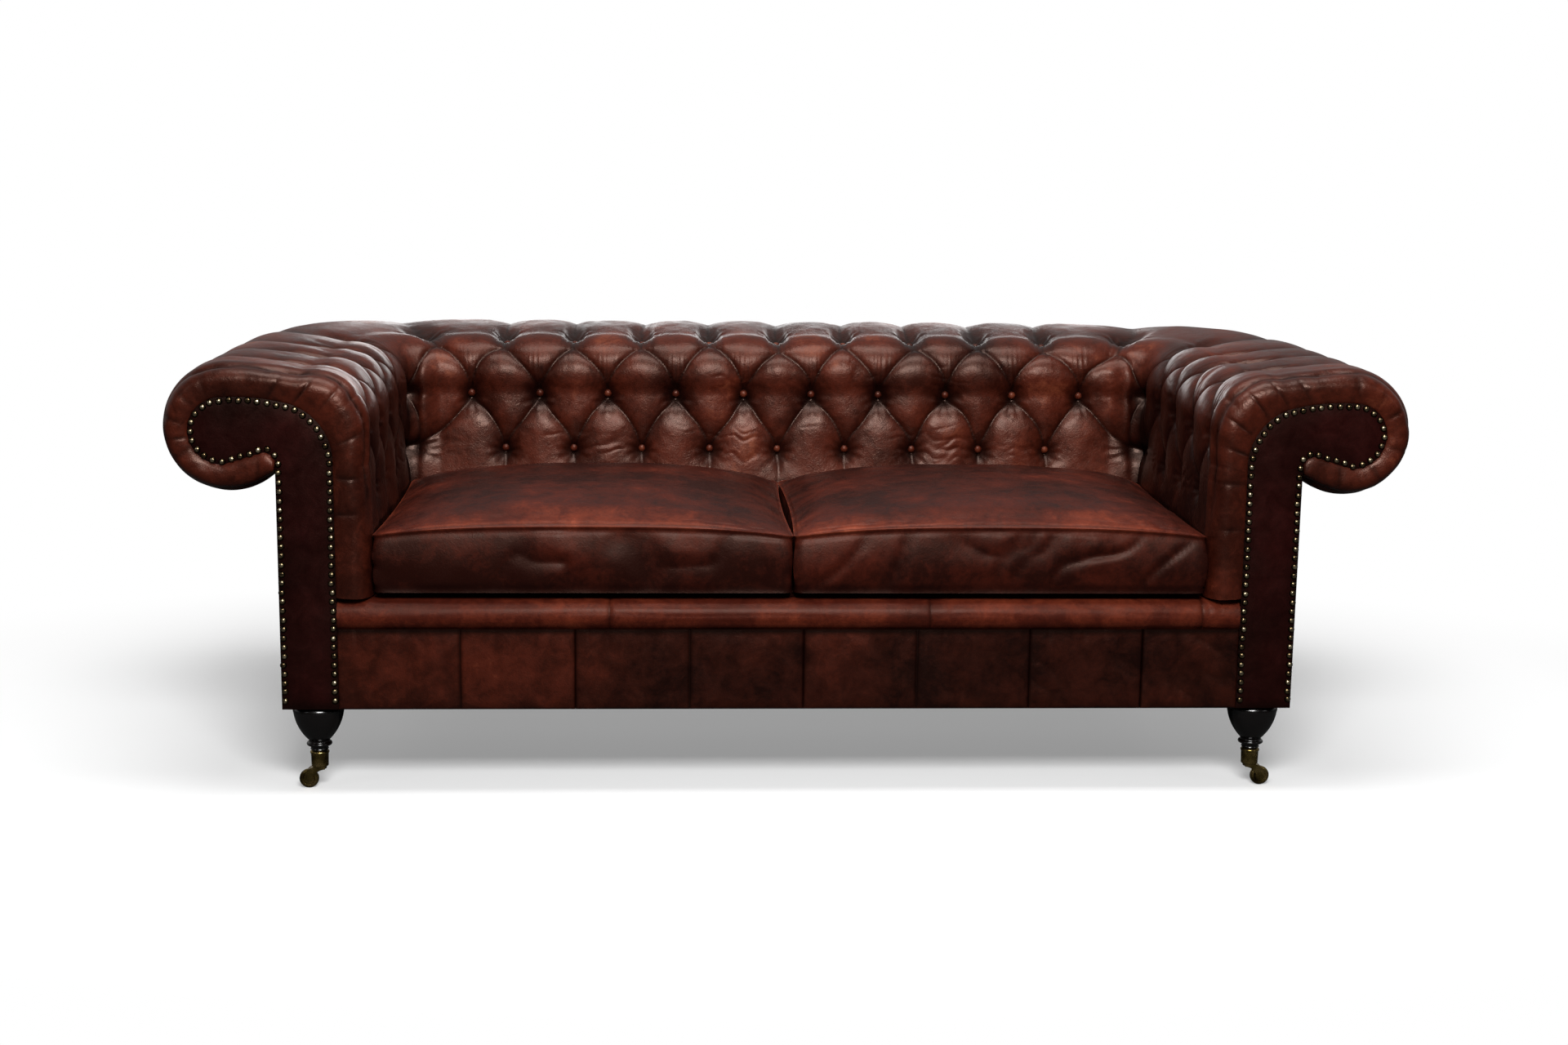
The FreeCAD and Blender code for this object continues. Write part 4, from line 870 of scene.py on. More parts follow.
def facing(name, side, leather, seed):
    """Padded scroll facing: a triangulated outline with inner points on an even lattice."""
    outline = facing_outline(FACING_GROWTH, 20)
    closed = np.concatenate([outline, outline[:1]])
    xs = np.arange(outline[:, 0].min(), outline[:, 0].max(), FACING_LATTICE)
    zs = np.arange(outline[:, 1].min(), outline[:, 1].max(), FACING_LATTICE)
    lattice = np.stack(np.meshgrid(xs, zs), axis=-1).reshape(-1, 2)
    rings = [facing_outline(FACING_GROWTH - inset, 20)[1:-1] for inset in (0.003, 0.006)]
    inner = lattice[distance_to_line(lattice, closed) > 0.010]
    flat = np.concatenate([outline, *rings, inner])
    count = len(outline)
    edges = [(number, (number + 1) % count) for number in range(count)]
    vertices, _, faces, *_ = delaunay_2d_cdt([tuple(p) for p in flat], edges, [list(range(count))], 1, 1e-6)
    vertices = np.array([tuple(v) for v in vertices])
    faces = np.array([tuple(f) for f in faces if len(f) == 3])
    distance = distance_to_line(vertices, closed)
    y = facing_face(distance, vertices, seed)
    front = np.stack([(HALF_SEAT + vertices[:, 0]) * side, y, vertices[:, 1]], axis=1)
    back = front.copy()
    back[:, 1] = FACING_BACK
    total = len(vertices)
    rim = open_edges(faces)
    walls = np.stack([rim[:, 0], rim[:, 1], rim[:, 1] + total, rim[:, 0] + total], axis=1)
    triangles = np.concatenate([faces, faces[:, ::-1] + total])
    # Painted shade: the facing darkens towards its nailed edge.
    edge = np.exp(-distance / 0.006)
    marks = {"crease_shade": np.tile(0.8 * edge, 2), "wear_and_shade": np.tile(0.6 - 0.4 * edge, 2)}
    points = np.concatenate([front, back])
    piece = mesh_object(f"arm_facing_leather_{name}", points, walls, triangles, marks, 40)
    dress(piece, leather, "root", "facing_leather", f"arm_facing_{name}")


NAIL_PITCH = 0.0155
NAIL_RADIUS = 0.0057
NAIL_RISE = 0.0046


def nail_shapes(side, seed):
    """Domed nails at an even pitch on the nail line: a rim, a steep shoulder and a round crown."""
    line = facing_outline(0, 40)
    lengths = arc_length(line)
    start = NAIL_PITCH / 2 + 0.003
    count = int((lengths[-1] - 2 * start) // NAIL_PITCH) + 1
    at = np.linspace(0, lengths[-1], count + 2)[1:-1]
    spots = sample(line, lengths, at)
    jitter = np.random.default_rng(seed)
    angles = np.linspace(0, 2 * np.pi, 12, endpoint=False)[None]
    outline = np.array([(1, 0), (0.97, 0.28), (0.80, 0.64), (0.48, 0.90), (0, 1)])
    shapes = []
    for u, z in spots:
        tilt = jitter.normal(0, 0.07, 2)
        shift = jitter.normal(0, 0.0005, 2)
        radius = outline[:, :1] * NAIL_RADIUS + 0 * angles
        rise = outline[:, 1:] * NAIL_RISE
        across, up = radius * np.cos(angles), radius * np.sin(angles)
        y = FRONT + 0.0022 - rise + across * tilt[0] + up * tilt[1]
        x = (HALF_SEAT + u + shift[0] + across) * side
        shapes.append((np.stack([x, y, z + shift[1] + up], axis=-1).reshape(-1, 3), 12, 5))
    return shapes


def facings(leather, brass):
    facing("right", 1, leather, 501)
    facing("left", -1, leather, 502)
    nails = joined_domes("facing_brass_nails", nail_shapes(1, 7) + nail_shapes(-1, 8))
    dress(nails, brass, "root", "brass", "facing_nails")


# Front lip and border

LIP_SEAMS = (-0.405, 0.305, 0.915)
BORDER_FIRST_SEAM = -0.560
BORDER_PANEL = 0.193


def seam_groove(x, seams, width):
    """1 on a seam, falling off over a width, and the signed distance to the nearest seam."""
    distance = x[..., None] - np.asarray(seams)
    nearest = np.take_along_axis(distance, np.abs(distance).argmin(axis=-1)[..., None], axis=-1)[..., 0]
    return np.exp(-np.abs(nearest) / width), nearest


def lip(leather):
    """Rolled lip: its nose arc carried along X, pulled in at its three seams, with soft lengthwise folds."""
    low_point = (FRONT + 0.015, RAIL_TOP)
    nose = (FRONT + 0.001, RAIL_TOP + 0.45 * (LIP_TOP - RAIL_TOP))
    top = (FRONT + 0.030, LIP_TOP)
    back = high("front_lip")[1]
    curve = np.concatenate([arc_points(low_point, nose, top, 60), np.linspace(top, (back, LIP_TOP), 30)[1:]])
    lengths = arc_length(curve)
    at = spaced([(0.075, 0.0024), (lengths[-1], 0.012)])
    points = sample(curve, lengths, at)
    along = sample(curve, lengths, at + 0.002) - sample(curve, lengths, at - 0.002)
    along[-1] = along[-2]
    normals = quarter_turned(along)
    x = np.linspace(-FACING_EDGE, FACING_EDGE, 900)
    seams = [share * FACING_EDGE for share in LIP_SEAMS]
    groove, _ = seam_groove(x, seams, 0.0035)
    wide, _ = seam_groove(x, seams, 0.030)
    sag = layered_noise(x / 0.16, x * 0, 601)
    length = at[:, None]
    folds_at = folds(x[None] / 0.16 + length * 3, length / 0.014, 602)
    puckers = smooth_noise(x[None] / 0.010, length / 0.05, 603)
    shows = fade(length, 0.085, 0.070)
    depth = 0.0016 * groove[None] + 0.0014 * wide[None] * puckers + 0.0009 * (1 - folds_at) * sag[None]
    depth = depth + 0.0030 * (sag[None] - 0.6) * np.sin(np.clip(length / 0.075, 0, 1) * np.pi)
    depth = depth * shows
    y = points[:, :1] - normals[:, :1] * depth
    z = points[:, 1:] - normals[:, 1:] * depth
    grid = np.stack([x[None] + 0 * y, y, z], axis=-1)
    inner_points = sample(curve, lengths, np.linspace(0, lengths[-1], 12))
    inner_points = inner_points - quarter_turned(np.gradient(inner_points, axis=0)) * 0.004
    inner_x = np.linspace(-FACING_EDGE, FACING_EDGE, 40)
    inner = np.empty((12, 40, 3))
    inner[..., 0] = inner_x[None]
    inner[..., 1] = inner_points[:, :1]
    inner[..., 2] = inner_points[:, 1:]
    # Painted shade: darker in the seam grooves and on the low part of the nose, under the roll.
    under = fade(length, 0.026, 0.0) + 0 * depth
    marks = {"crease_shade": np.maximum(0.8 * groove[None] * shows, 0.7 * under), "wear_and_shade": 0.75 + 0 * depth}
    piece = shell("front_lip_leather", grid, inner, marks)
    dress(piece, leather, "root", "leather", "front_lip")


def border(leather):
    """Eight border panels: each swells between its seams, with lapped seam edges and pulled folds."""
    seams = np.arange(BORDER_FIRST_SEAM, FACING_EDGE - 0.060, BORDER_PANEL)
    x = np.linspace(-FACING_EDGE, FACING_EDGE, 1200)
    z = np.linspace(UNDERSIDE, RAIL_TOP + 0.004, 40)[:, None]
    groove, signed = seam_groove(x, seams, 0.0022)
    share = (z - UNDERSIDE) / (RAIL_TOP - UNDERSIDE)
    ends = np.concatenate([[-FACING_EDGE], seams, [FACING_EDGE]])
    panel = np.clip(np.searchsorted(ends, x, side="right") - 1, 0, len(ends) - 2)
    within = (x - ends[panel]) / (ends[panel + 1] - ends[panel])
    upright = np.sqrt(np.clip(share / 0.10, 0, 1)) * (1 - 0.25 * fade(share, 0.86, 1.0))
    swell = round_rise(2 * np.minimum(within, 1 - within))[None] * upright
    slope = np.where(panel >= 6, 1.4, 0.25)[None]
    pulled = np.where(panel >= 6, 1.0, 0.35)[None]
    diagonal = folds((x[None] + slope * z) / 0.055, (z - slope * x[None]) / 0.19, 611)
    top_creases = folds(x[None] / 0.030, share * 0.8, 612)
    lap = 0.0014 * (signed > 0) * np.exp(-np.abs(signed) / 0.012)
    depth = 0.0036 * groove[None] + 0.0026 * (1 - diagonal) * pulled * swell
    depth = depth + 0.0012 * (1 - top_creases) * fade(share, 0.70, 1.0) - lap[None]
    depth = depth + 0.0040 * (1 - swell)
    y = FRONT + 0.0015 + depth
    grid = np.stack([x[None] + 0 * y, y, z + 0 * y], axis=-1)
    back_y = high("front_border")[1]
    inner = np.empty((6, 20, 3))
    inner[..., 0] = np.linspace(-FACING_EDGE, FACING_EDGE, 20)[None]
    inner[..., 1] = back_y
    inner[..., 2] = np.linspace(UNDERSIDE, RAIL_TOP + 0.004, 6)[:, None]
    # Painted shade in the seam grooves and folds, and along the top edge under the lip.
    crease_shade = 1.1 * groove[None] + 0.35 * (1 - diagonal) * pulled * swell + fade(share, 0.96, 1.0)
    patch = smooth_noise(panel * 5.3 + 0.5, panel * 0 + 0.5, 613)[None]
    # Each panel's tone differs at random; each panel's swell is lighter, partly rubbed wear and partly painted
    # light.
    marks = {"crease_shade": np.clip(crease_shade, 0, 1) + 0 * y, "wear_and_shade": 0.15 + 0.45 * patch + 0.15 * swell}
    piece = shell("front_border_leather", grid, inner, marks)
    dress(piece, leather, "root", "leather", "front_border")


# Seat cushions

CUSHION_CROWN = 0.050
CUSHION_PULL = 0.007
CORNER_SHARE = 0.05
PAD_STEPS = 20
PAD_CAP = 0.008
PAD_VOXEL = 0.010
PAD_PRESSURE = 4.0


def rounded_square(count):
    """Outline of the square from -1 to 1 with small round corners, in even steps from its right side."""
    straight = 2 - 2 * CORNER_SHARE
    side_length = straight + CORNER_SHARE * math.pi / 2
    at = np.linspace(0, 4, count, endpoint=False)
    side = np.floor(at).astype(int)
    along = (at - side) * side_length
    angle = np.clip((along - straight) / CORNER_SHARE, 0, None)
    x = np.where(angle > 0, 1 - CORNER_SHARE + CORNER_SHARE * np.cos(angle), 1.0)
    y = np.where(angle > 0, 1 - CORNER_SHARE + CORNER_SHARE * np.sin(angle), -1 + CORNER_SHARE + along)
    turn = side * math.pi / 2
    return x * np.cos(turn) - y * np.sin(turn), x * np.sin(turn) + y * np.cos(turn)


TOP_ROWS = 62
BOX_ROWS = 30


def cushion_grid(side, inset, columns=380):
    """Rings of a cushion: from the middle of its top out to the seam, down the boxing and back below.

    The top is the product of a flattened dome across and one from front to back, so the seam rises a
    little in the middle of the front. The sides draw in between the corners.
    """
    name = "right" if side > 0 else "left"
    lowest, highest = low(f"cushion_cover_{name}") + inset, high(f"cushion_cover_{name}") - inset
    middle, half = (lowest + highest) / 2, (highest - lowest) / 2
    seam = highest[2] - CUSHION_CROWN
    px, py = rounded_square(columns)
    shares = np.concatenate([np.linspace(0.02, 0.92, TOP_ROWS - 16), np.linspace(0.93, 1.0, 16)])[:, None]
    box = np.linspace(0, 1, BOX_ROWS + 1)[1:, None]
    below = np.linspace(0.98, 0.04, 16)[:, None]
    x = np.concatenate([shares * px, px + 0 * box, below * px])
    y = np.concatenate([shares * py, py + 0 * box, below * py])
    across = np.clip(1 - np.abs(x) ** 2.8, 0, 1) ** 0.8
    lengthwise = 0.36 + 0.67 * np.clip(1 - np.abs(y) ** 3, 0, 1) ** 0.6
    top = seam + CUSHION_CROWN * across * lengthwise
    fall = np.concatenate([0 * shares, box, 1 + 0 * below])
    z = top + (lowest[2] - top) * fall
    draw = CUSHION_PULL * (1 - y ** 2) * x
    return np.stack([middle[0] + x * half[0] - draw, middle[1] + y * half[1], z], axis=-1), x, y, fall


def ring_normals(grid):
    """Outward unit normals of a ring grid, from its neighbours."""
    around = np.roll(grid, -1, axis=1) - np.roll(grid, 1, axis=1)
    down = np.gradient(grid, axis=0)
    normal = np.cross(down, around)
    return normal / np.maximum(np.linalg.norm(normal, axis=-1, keepdims=True), 1e-12)


def vertex_places(mesh):
    places = np.empty(len(mesh.vertices) * 3, np.float32)
    mesh.vertices.foreach_get("co", places)
    return places.reshape(-1, 3).astype(float)


def voxel_mesh(piece, voxel):
    """Swaps a piece's mesh for an even skin of it."""
    remesh = piece.modifiers.new("remesh", "REMESH")
    remesh.mode = "VOXEL"
    remesh.voxel_size = voxel
    graph = bpy.context.evaluated_depsgraph_get()
    even = bpy.data.meshes.new_from_object(piece.evaluated_get(graph))
    piece.modifiers.clear()
    piece.data = even
    return even


def blown_up(grid):
    """Grid after a short cloth simulation of its pad under pressure, moved by at most the cap.

    Each grid point takes the mean shift of the nearest pad face's corners, weighted by nearness.
    """
    scene = bpy.context.scene
    pad = ring_mesh("pad_under_pressure", grid)
    even = voxel_mesh(pad, PAD_VOXEL)
    cloth = pad.modifiers.new("cloth", "CLOTH")
    cloth.settings.effector_weights.gravity = 0
    cloth.settings.use_pressure = True
    cloth.settings.uniform_pressure_force = PAD_PRESSURE
    cloth.settings.quality = 4
    cloth.point_cache.frame_start = 1
    cloth.point_cache.frame_end = PAD_STEPS
    for step in range(1, PAD_STEPS + 1):
        scene.frame_set(step)
    graph = bpy.context.evaluated_depsgraph_get()
    shaped = bpy.data.meshes.new_from_object(pad.evaluated_get(graph))
    start = vertex_places(even)
    shift = vertex_places(shaped) - start
    size = np.linalg.norm(shift, axis=1, keepdims=True)
    shift = shift * np.minimum(1, PAD_CAP / np.maximum(size, 1e-9))
    scene.frame_set(1)
    faces = [tuple(face.vertices) for face in even.polygons]
    tree = BVHTree.FromPolygons([tuple(place) for place in start], faces)
    places = grid.reshape(-1, 3)
    near = np.array(faces)[[tree.find_nearest(tuple(place))[2] for place in places]]
    weight = 1 / (np.linalg.norm(start[near] - places[:, None], axis=2) + 1e-4)
    moved = (weight[..., None] * shift[near]).sum(axis=1) / weight.sum(axis=1, keepdims=True)
    bpy.data.objects.remove(pad)
    return (places + moved).reshape(grid.shape)


SEAM_RIDGE = 0.0020
STITCH_LINE = 0.0060
SWELLING_LIMITS = (-0.0010, 0.0050)
LEAST_RELIEF = -0.0025
CORE_INSET = 0.004


def cushion(name, side, leather, foam, seed, swelling):
    """Cushion cover with seams, stitch lines, a bulging boxing and soft folds, and its foam core."""
    grid, x, y, fall = cushion_grid(side, 0)
    normal = ring_normals(grid)
    distance = arc_length(grid[:, 0])
    from_seam = (distance - distance[TOP_ROWS - 1])[:, None]
    from_foot = (distance - distance[TOP_ROWS + BOX_ROWS - 1])[:, None]
    around = np.arctan2(y, x)
    in_box = fade(from_seam, 0.0, 0.014) * fade(from_foot, 0.0, -0.014)
    front = fade(np.abs(x), 1.0, 0.985)
    room = np.clip(front + 0.6 * (1 - y ** 2), 0, 1)
    bulge = 0.0105 * np.sin(fall * np.pi) * in_box * room
    drift = 1.5 * smooth_noise(around * 4, fall, seed + 7)
    upright = folds(around * 8 + 0.9 * fall + drift, fall * 0.9, seed)
    sagging = layered_noise(around * 7, fall * 1.2, seed + 1)
    pulls = 0.0125 * (1 - upright) ** 1.5 * sagging * np.sin(fall * np.pi) ** 0.6 * in_box * room
    relief = bulge + 0.0060 * (sagging - 0.5) * in_box * room - pulls
    on_top = fade(from_seam, 0.0, -0.010)
    broad = layered_noise(grid[..., 0] / 0.17, grid[..., 1] / 0.13, seed + 2)
    slack = folds(grid[..., 0] / 0.12 + grid[..., 1] * 2, grid[..., 1] / 0.06, seed + 3)
    edge_pull = folds(around * 13, from_seam / 0.10, seed + 4) * fade(from_seam, -0.09, -0.012)
    top_relief = 0.0015 + 0.0060 * (broad - 0.5) - 0.0008 * (1 - slack) + 0.0014 * (edge_pull - 0.5)
    relief = relief + on_top * top_relief
    ridge = np.exp(-(from_seam / 0.0022) ** 2) + np.exp(-(from_foot / 0.0022) ** 2)
    stitch = np.exp(-((np.abs(from_seam) - STITCH_LINE) / 0.0016) ** 2)
    relief = relief + SEAM_RIDGE * ridge - 0.0008 * stitch
    relief = np.maximum(relief + swelling, LEAST_RELIEF) * fade(from_foot, 0.006, -0.004)
    shaped = grid + normal * relief[..., None]
    # Painted shade beside the seams, in the boxing's folds and along the bottom edge.
    seam_shade = np.exp(-((np.abs(from_seam) - 0.0036) / 0.0014) ** 2) * 0.7
    crease_shade = np.maximum(seam_shade, 0.55 * (1 - upright) * in_box * sagging)
    crease_shade = np.maximum(crease_shade, 0.8 * fade(from_foot, -0.020, 0.0))
    forward = np.exp(-np.abs(y + 1.0) / 0.22) * on_top
    at_seam = np.exp(-np.abs(from_seam) / 0.005)
    # Lighter at the front and on the seam, rubbed wear; the boxing below the seam is darker as painted shade.
    wear_and_shade = 0.26 + 0.60 * forward + 0.8 * at_seam - 0.10 * fade(from_seam, 0.01, 0.06)
    piece = ring_mesh(f"seat_cushion_{name}", shaped, {"crease_shade": crease_shade, "wear_and_shade": np.clip(wear_and_shade, 0, 1)})
    dress(piece, leather, f"cushion_{name}", "leather", f"cushion_cover_{name}")
    inside, *_ = cushion_grid(side, CORE_INSET, 120)
    core = ring_mesh(f"seat_cushion_core_{name}", inside)
    dress(core, foam, f"cushion_{name}", "foam", f"cushion_core_{name}")


def cushions(leather, foam):
    """Both cushions share one simulated swelling: how far the pressed pad moved along its normals."""
    swelling = 0.0
    grid, *_ = cushion_grid(1, 0)
    outward = ((blown_up(grid) - grid) * ring_normals(grid)).sum(axis=-1)
    swelling = np.clip(outward, *SWELLING_LIMITS)
    cushion("left", -1, leather, foam, 701, swelling)
    cushion("right", 1, leather, foam, 751, swelling)


# Outside covers

def outside_panel(name, start, across, up, out, leather, node, seed):
    """Flat outside cover as a closed pad that swells a little between its edges, with long soft waves."""
    a, b = np.meshgrid(np.linspace(0, 1, 90), np.linspace(0, 1, 60))
    swell = 0.0022 * (np.sin(a * np.pi) * np.sin(b * np.pi)) ** 0.3
    waves = 0.0030 * (layered_noise(a * 5, b * 2.2, seed) - 0.5) * np.sin(a * np.pi) * np.sin(b * np.pi)
    depth = 0.0020 - swell - waves
    across, up, out = (np.asarray(v, float) for v in (across, up, out))
    face = np.asarray(start) + a[..., None] * across + b[..., None] * up - depth[..., None] * out
    ia, ib = np.meshgrid(np.linspace(0, 1, 8), np.linspace(0, 1, 6))
    inner = np.asarray(start) + ia[..., None] * across + ib[..., None] * up - 0.008 * out
    from_side = np.minimum(a, 1 - a) * np.linalg.norm(across)
    from_end = np.minimum(b, 1 - b) * np.linalg.norm(up)
    wear_and_shade = 0.45 + 0.2 * (layered_noise(a * 4, b * 3, seed + 1) - 0.5)
    # Painted shade along the panel's edges.
    marks = {"crease_shade": np.exp(-np.minimum(from_side, from_end) / 0.006), "wear_and_shade": wear_and_shade}
    dress(shell(name, face, inner, marks), leather, "root", "leather", node)


def outside_covers(leather):
    top = high("outside_back_cover")[2]
    height = (0, 0, top - UNDERSIDE)
    back_start = (-OUTER_WALL + 0.008, OUTER_BACK, UNDERSIDE)
    outside_panel(
        "outside_back_leather", back_start, (2 * (OUTER_WALL - 0.008), 0, 0), height, (0, 1, 0),
        leather, "outside_back_cover", 801,
    )
    for name, side in (("right", 1), ("left", -1)):
        start = (OUTER_WALL * side, FACING_BACK, UNDERSIDE)
        outside_panel(
            f"outside_arm_leather_{name}", start, (0, OUTER_BACK - FACING_BACK, 0), height, (side, 0, 0),
            leather, f"outside_arm_cover_{name}", 811 + side,
        )


# Legs and castors

WHEEL_RADIUS = 0.0165
WHEEL_TRAIL = 0.019

LEG_PLACES = {
    f"{end}_{name}": (0.805 * side, y)
    for end, y in (("front", -0.41925), ("rear", 0.23375))
    for name, side in (("left", -1), ("right", 1))
}


def chain(stretches):
    """One line of points from stretches that each start where the last one ends."""
    return np.concatenate([stretches[0], *(stretch[1:] for stretch in stretches[1:])])


def leg_outline():
    """Turned leg in metres: spigot, neck bead and bulb, up to its flat top."""
    spigot, rim, bulb, top, foot = 0.013, 0.066, 0.0425, UNDERSIDE - 0.001, 0.044

    def neck(outward, upward):
        return spigot + outward, rim + upward

    return chain([
        np.linspace((spigot, foot), (spigot, rim), 3),
        np.linspace((spigot, rim), neck(0.0025, 0.004), 3),
        arc_points(neck(0.0025, 0.004), neck(0.0015, 0.007), neck(0.005, 0.010), 6),
        arc_points(neck(0.005, 0.010), neck(0.0085, 0.013), neck(0.0055, 0.016), 8),
        arc_points(neck(0.0055, 0.016), neck(0.0045, 0.018), neck(0.005, 0.020), 5),
        arc_points(neck(0.005, 0.020), (bulb - 0.008, top - 0.040), (bulb, top - 0.014), 20),
        arc_points((bulb, top - 0.014), (bulb - 0.001, top - 0.004), (bulb - 0.007, top), 8),
    ])


def cup_outline():
    """Castor cup: a tapered brass thimble with a rolled rim, round the leg's spigot."""
    outer, bottom, rim = 0.015, 0.0385, 0.066
    return chain([
        np.linspace((0.0036, bottom), (outer - 0.002, bottom), 3),
        arc_points(
            (outer - 0.002, bottom), (outer - 0.0009, bottom + 0.001), (outer - 0.0006, bottom + 0.003), 5,
        ),
        np.linspace((outer - 0.0006, bottom + 0.003), (outer - 0.0001, rim - 0.005), 4),
        arc_points((outer - 0.0001, rim - 0.005), (outer + 0.0012, rim - 0.0025), (outer - 0.0001, rim), 7),
        np.linspace((outer - 0.0001, rim), (outer - 0.0018, rim), 2),
        np.linspace((outer - 0.0018, rim), (outer - 0.0018, 0.0445), 2),
        np.linspace((outer - 0.0018, 0.0445), (0.0036, 0.0445), 2),
    ])


def wheel_outline():
    """Wheel section across its width: dished faces, a raised hub and a rounded tread."""
    radius, half = WHEEL_RADIUS, 0.0065
    return chain([
        np.linspace((0.0021, -half), (0.0055, -half), 2),
        arc_points((0.0055, -half), (0.0078, -half + 0.0016), (0.0105, -half + 0.0006), 6),
        arc_points((0.0105, -half + 0.0006), (radius - 0.0011, -half + 0.0022), (radius, -0.0012), 8),
        np.linspace((radius, -0.0012), (radius, 0.0012), 3),
        arc_points((radius, 0.0012), (radius - 0.0011, half - 0.0022), (0.0105, half - 0.0006), 8),
        arc_points((0.0105, half - 0.0006), (0.0078, half - 0.0016), (0.0055, half), 6),
        np.linspace((0.0055, half), (0.0021, half), 2),
    ])


def legs_and_castors(wood, brass):
    cups = []
    for tag, (x, y) in LEG_PLACES.items():
        leg = lathe(f"turned_leg_{tag}", leg_outline(), (x, y, 0), 96)
        dress(leg, wood, "root", "leg_wood", f"leg_{tag}")
        cups.append(lathe(f"cup_{tag}", cup_outline(), (x, y, 0), 64))
        trail = WHEEL_TRAIL * (1 if x > 0 else -1)
        wheel = lathe(f"castor_wheel_brass_{tag}", wheel_outline(), (x + trail, y, WHEEL_RADIUS), 64, "y")
        dress(wheel, brass, f"wheel_{tag}", "brass", f"castor_wheel_{tag}")
        for part in ("horn", "axle"):
            refinish(frame["nodes"][f"castor_{part}_{tag}"], brass)
    chosen = {"active_object": cups[0], "selected_editable_objects": cups, "selected_objects": cups}
    with bpy.context.temp_override(**chosen):
        bpy.ops.object.join()
    cups[0].name = "castor_cups_brass"
    dress(cups[0], brass, "root", "brass", "castor_cups")


# Cloth under and inside

def dust_cover(cloth):
    """Woven lining under the frame: a level sheet that sags slightly between its tacked edges."""
    lo, hi = low("dust_cover"), high("dust_cover")
    a, b = np.meshgrid(np.linspace(0, 1, 120), np.linspace(0, 1, 60))
    sag = 0.0035 * (np.sin(a * np.pi) * np.sin(b * np.pi)) ** 0.5
    ripple = 0.0008 * layered_noise(a * 24, b * 12, 901) * np.sin(a * np.pi) * np.sin(b * np.pi)
    x = lo[0] + a * (hi[0] - lo[0])
    y = lo[1] + b * (hi[1] - lo[1])
    face = np.stack([x, y, lo[2] - sag - ripple], axis=-1)
    ia, ib = np.meshgrid(np.linspace(0, 1, 12), np.linspace(0, 1, 8))
    top = np.stack([lo[0] + ia * (hi[0] - lo[0]), lo[1] + ib * (hi[1] - lo[1]), hi[2] + 0 * ia], axis=-1)
    piece = shell("dust_cover_lining", face, top)
    dress(piece, cloth, "root", "cloth", "dust_cover")


def deck_cloth_cover(cloth):
    """Deck cloth over the springs: level with shallow cross waves, turned down over the pad's front edge."""
    lo, hi = low("deck_cover"), high("deck_cover")
    front = lo[1] - 0.0012
    turned = arc_points((front, hi[2] - 0.004), (front + 0.0012, hi[2] - 0.0012), (front + 0.004, hi[2]), 8)
    level = np.linspace((front + 0.004, hi[2]), (hi[1], hi[2]), 60)[1:]
    profile = np.concatenate([[(front, LIP_TOP)], turned, level])
    lengths = arc_length(profile)
    a, b = np.meshgrid(np.linspace(0, 1, 160), lengths / lengths[-1])
    x = lo[0] + a * (hi[0] - lo[0])
    inside = np.clip(12 * np.minimum(np.minimum(a, 1 - a), np.minimum(b - 0.05, 1 - b)), 0, 1)
    dips = 0.0012 * (0.5 + 0.5 * np.cos(x / 0.160 * 2 * np.pi)) + 0.0008 * layered_noise(a * 9, b * 5, 911)
    face = np.stack([x, profile[:, :1] + 0 * x, profile[:, 1:] - dips * inside], axis=-1)
    back_y = np.concatenate([[lo[1]], np.linspace(lo[1], hi[1], 7)])[:, None]
    back_z = np.concatenate([[LIP_TOP], np.full(7, lo[2])])[:, None]
    across = np.linspace(lo[0], hi[0], 12)[None] + 0 * back_y
    under = np.stack([across, back_y + 0 * across, back_z + 0 * across], axis=-1)
    piece = shell("deck_cloth", face, under)
    dress(piece, cloth, "root", "cloth", "deck_cover")


FOAM_VOXEL = 0.011


def foam_blocks(foam):
    """Hidden foam with the form of its space: even skin, rounded cut edges and a slightly uneven face."""
    for node in ("arm_foam_left", "arm_foam_right", "back_foam", "front_lip_foam", "deck_pad"):
        block = bpy.data.objects.new(f"{node}_block", frame["nodes"][node].data.copy())
        bpy.context.scene.collection.objects.link(block)
        voxel_mesh(block, FOAM_VOXEL)
        places = vertex_places(block.data)
        normals = np.empty(len(places) * 3, np.float32)
        block.data.vertices.foreach_get("normal", normals)
        uneven = 0.0012 * layered_noise(places[:, 0] / 0.05, (places[:, 1] + places[:, 2]) / 0.05, 921)
        places = places - normals.reshape(-1, 3) * uneven[:, None]
        block.data.vertices.foreach_set("co", places.astype(np.float32).ravel())
        block.data.shade_smooth()
        dress(block, foam, "root", "foam", node)


# Materials

def linear(code):
    """Linear colour of an sRGB hex code."""
    values = [int(code[start:start + 2], 16) / 255 for start in (1, 3, 5)]
    return [v / 12.92 if v <= 0.04045 else ((v + 0.055) / 1.055) ** 2.4 for v in values] + [1.0]


def set_inputs(tree, node, inputs):
    """Sets inputs to plain values, or links them to the outputs of other nodes."""
    for key, value in inputs.items():
        if isinstance(value, bpy.types.NodeSocket):
            tree.links.new(value, node.inputs[key])
        else:
            node.inputs[key].default_value = value


def add(tree, kind, inputs=None, stops=None, **settings):
    """Adds a node; inputs hold values or the outputs of other nodes, stops a ramp's (place, colour)."""
    node = tree.nodes.new(kind)
    for key, value in settings.items():
        setattr(node, key, value)
    if stops:
        ramp = node.color_ramp
        while len(ramp.elements) < len(stops):
            ramp.elements.new(0.5)
        for element, (place, colour) in zip(ramp.elements, stops):
            element.position = place
            element.color = linear(colour)
    set_inputs(tree, node, inputs or {})
    return node


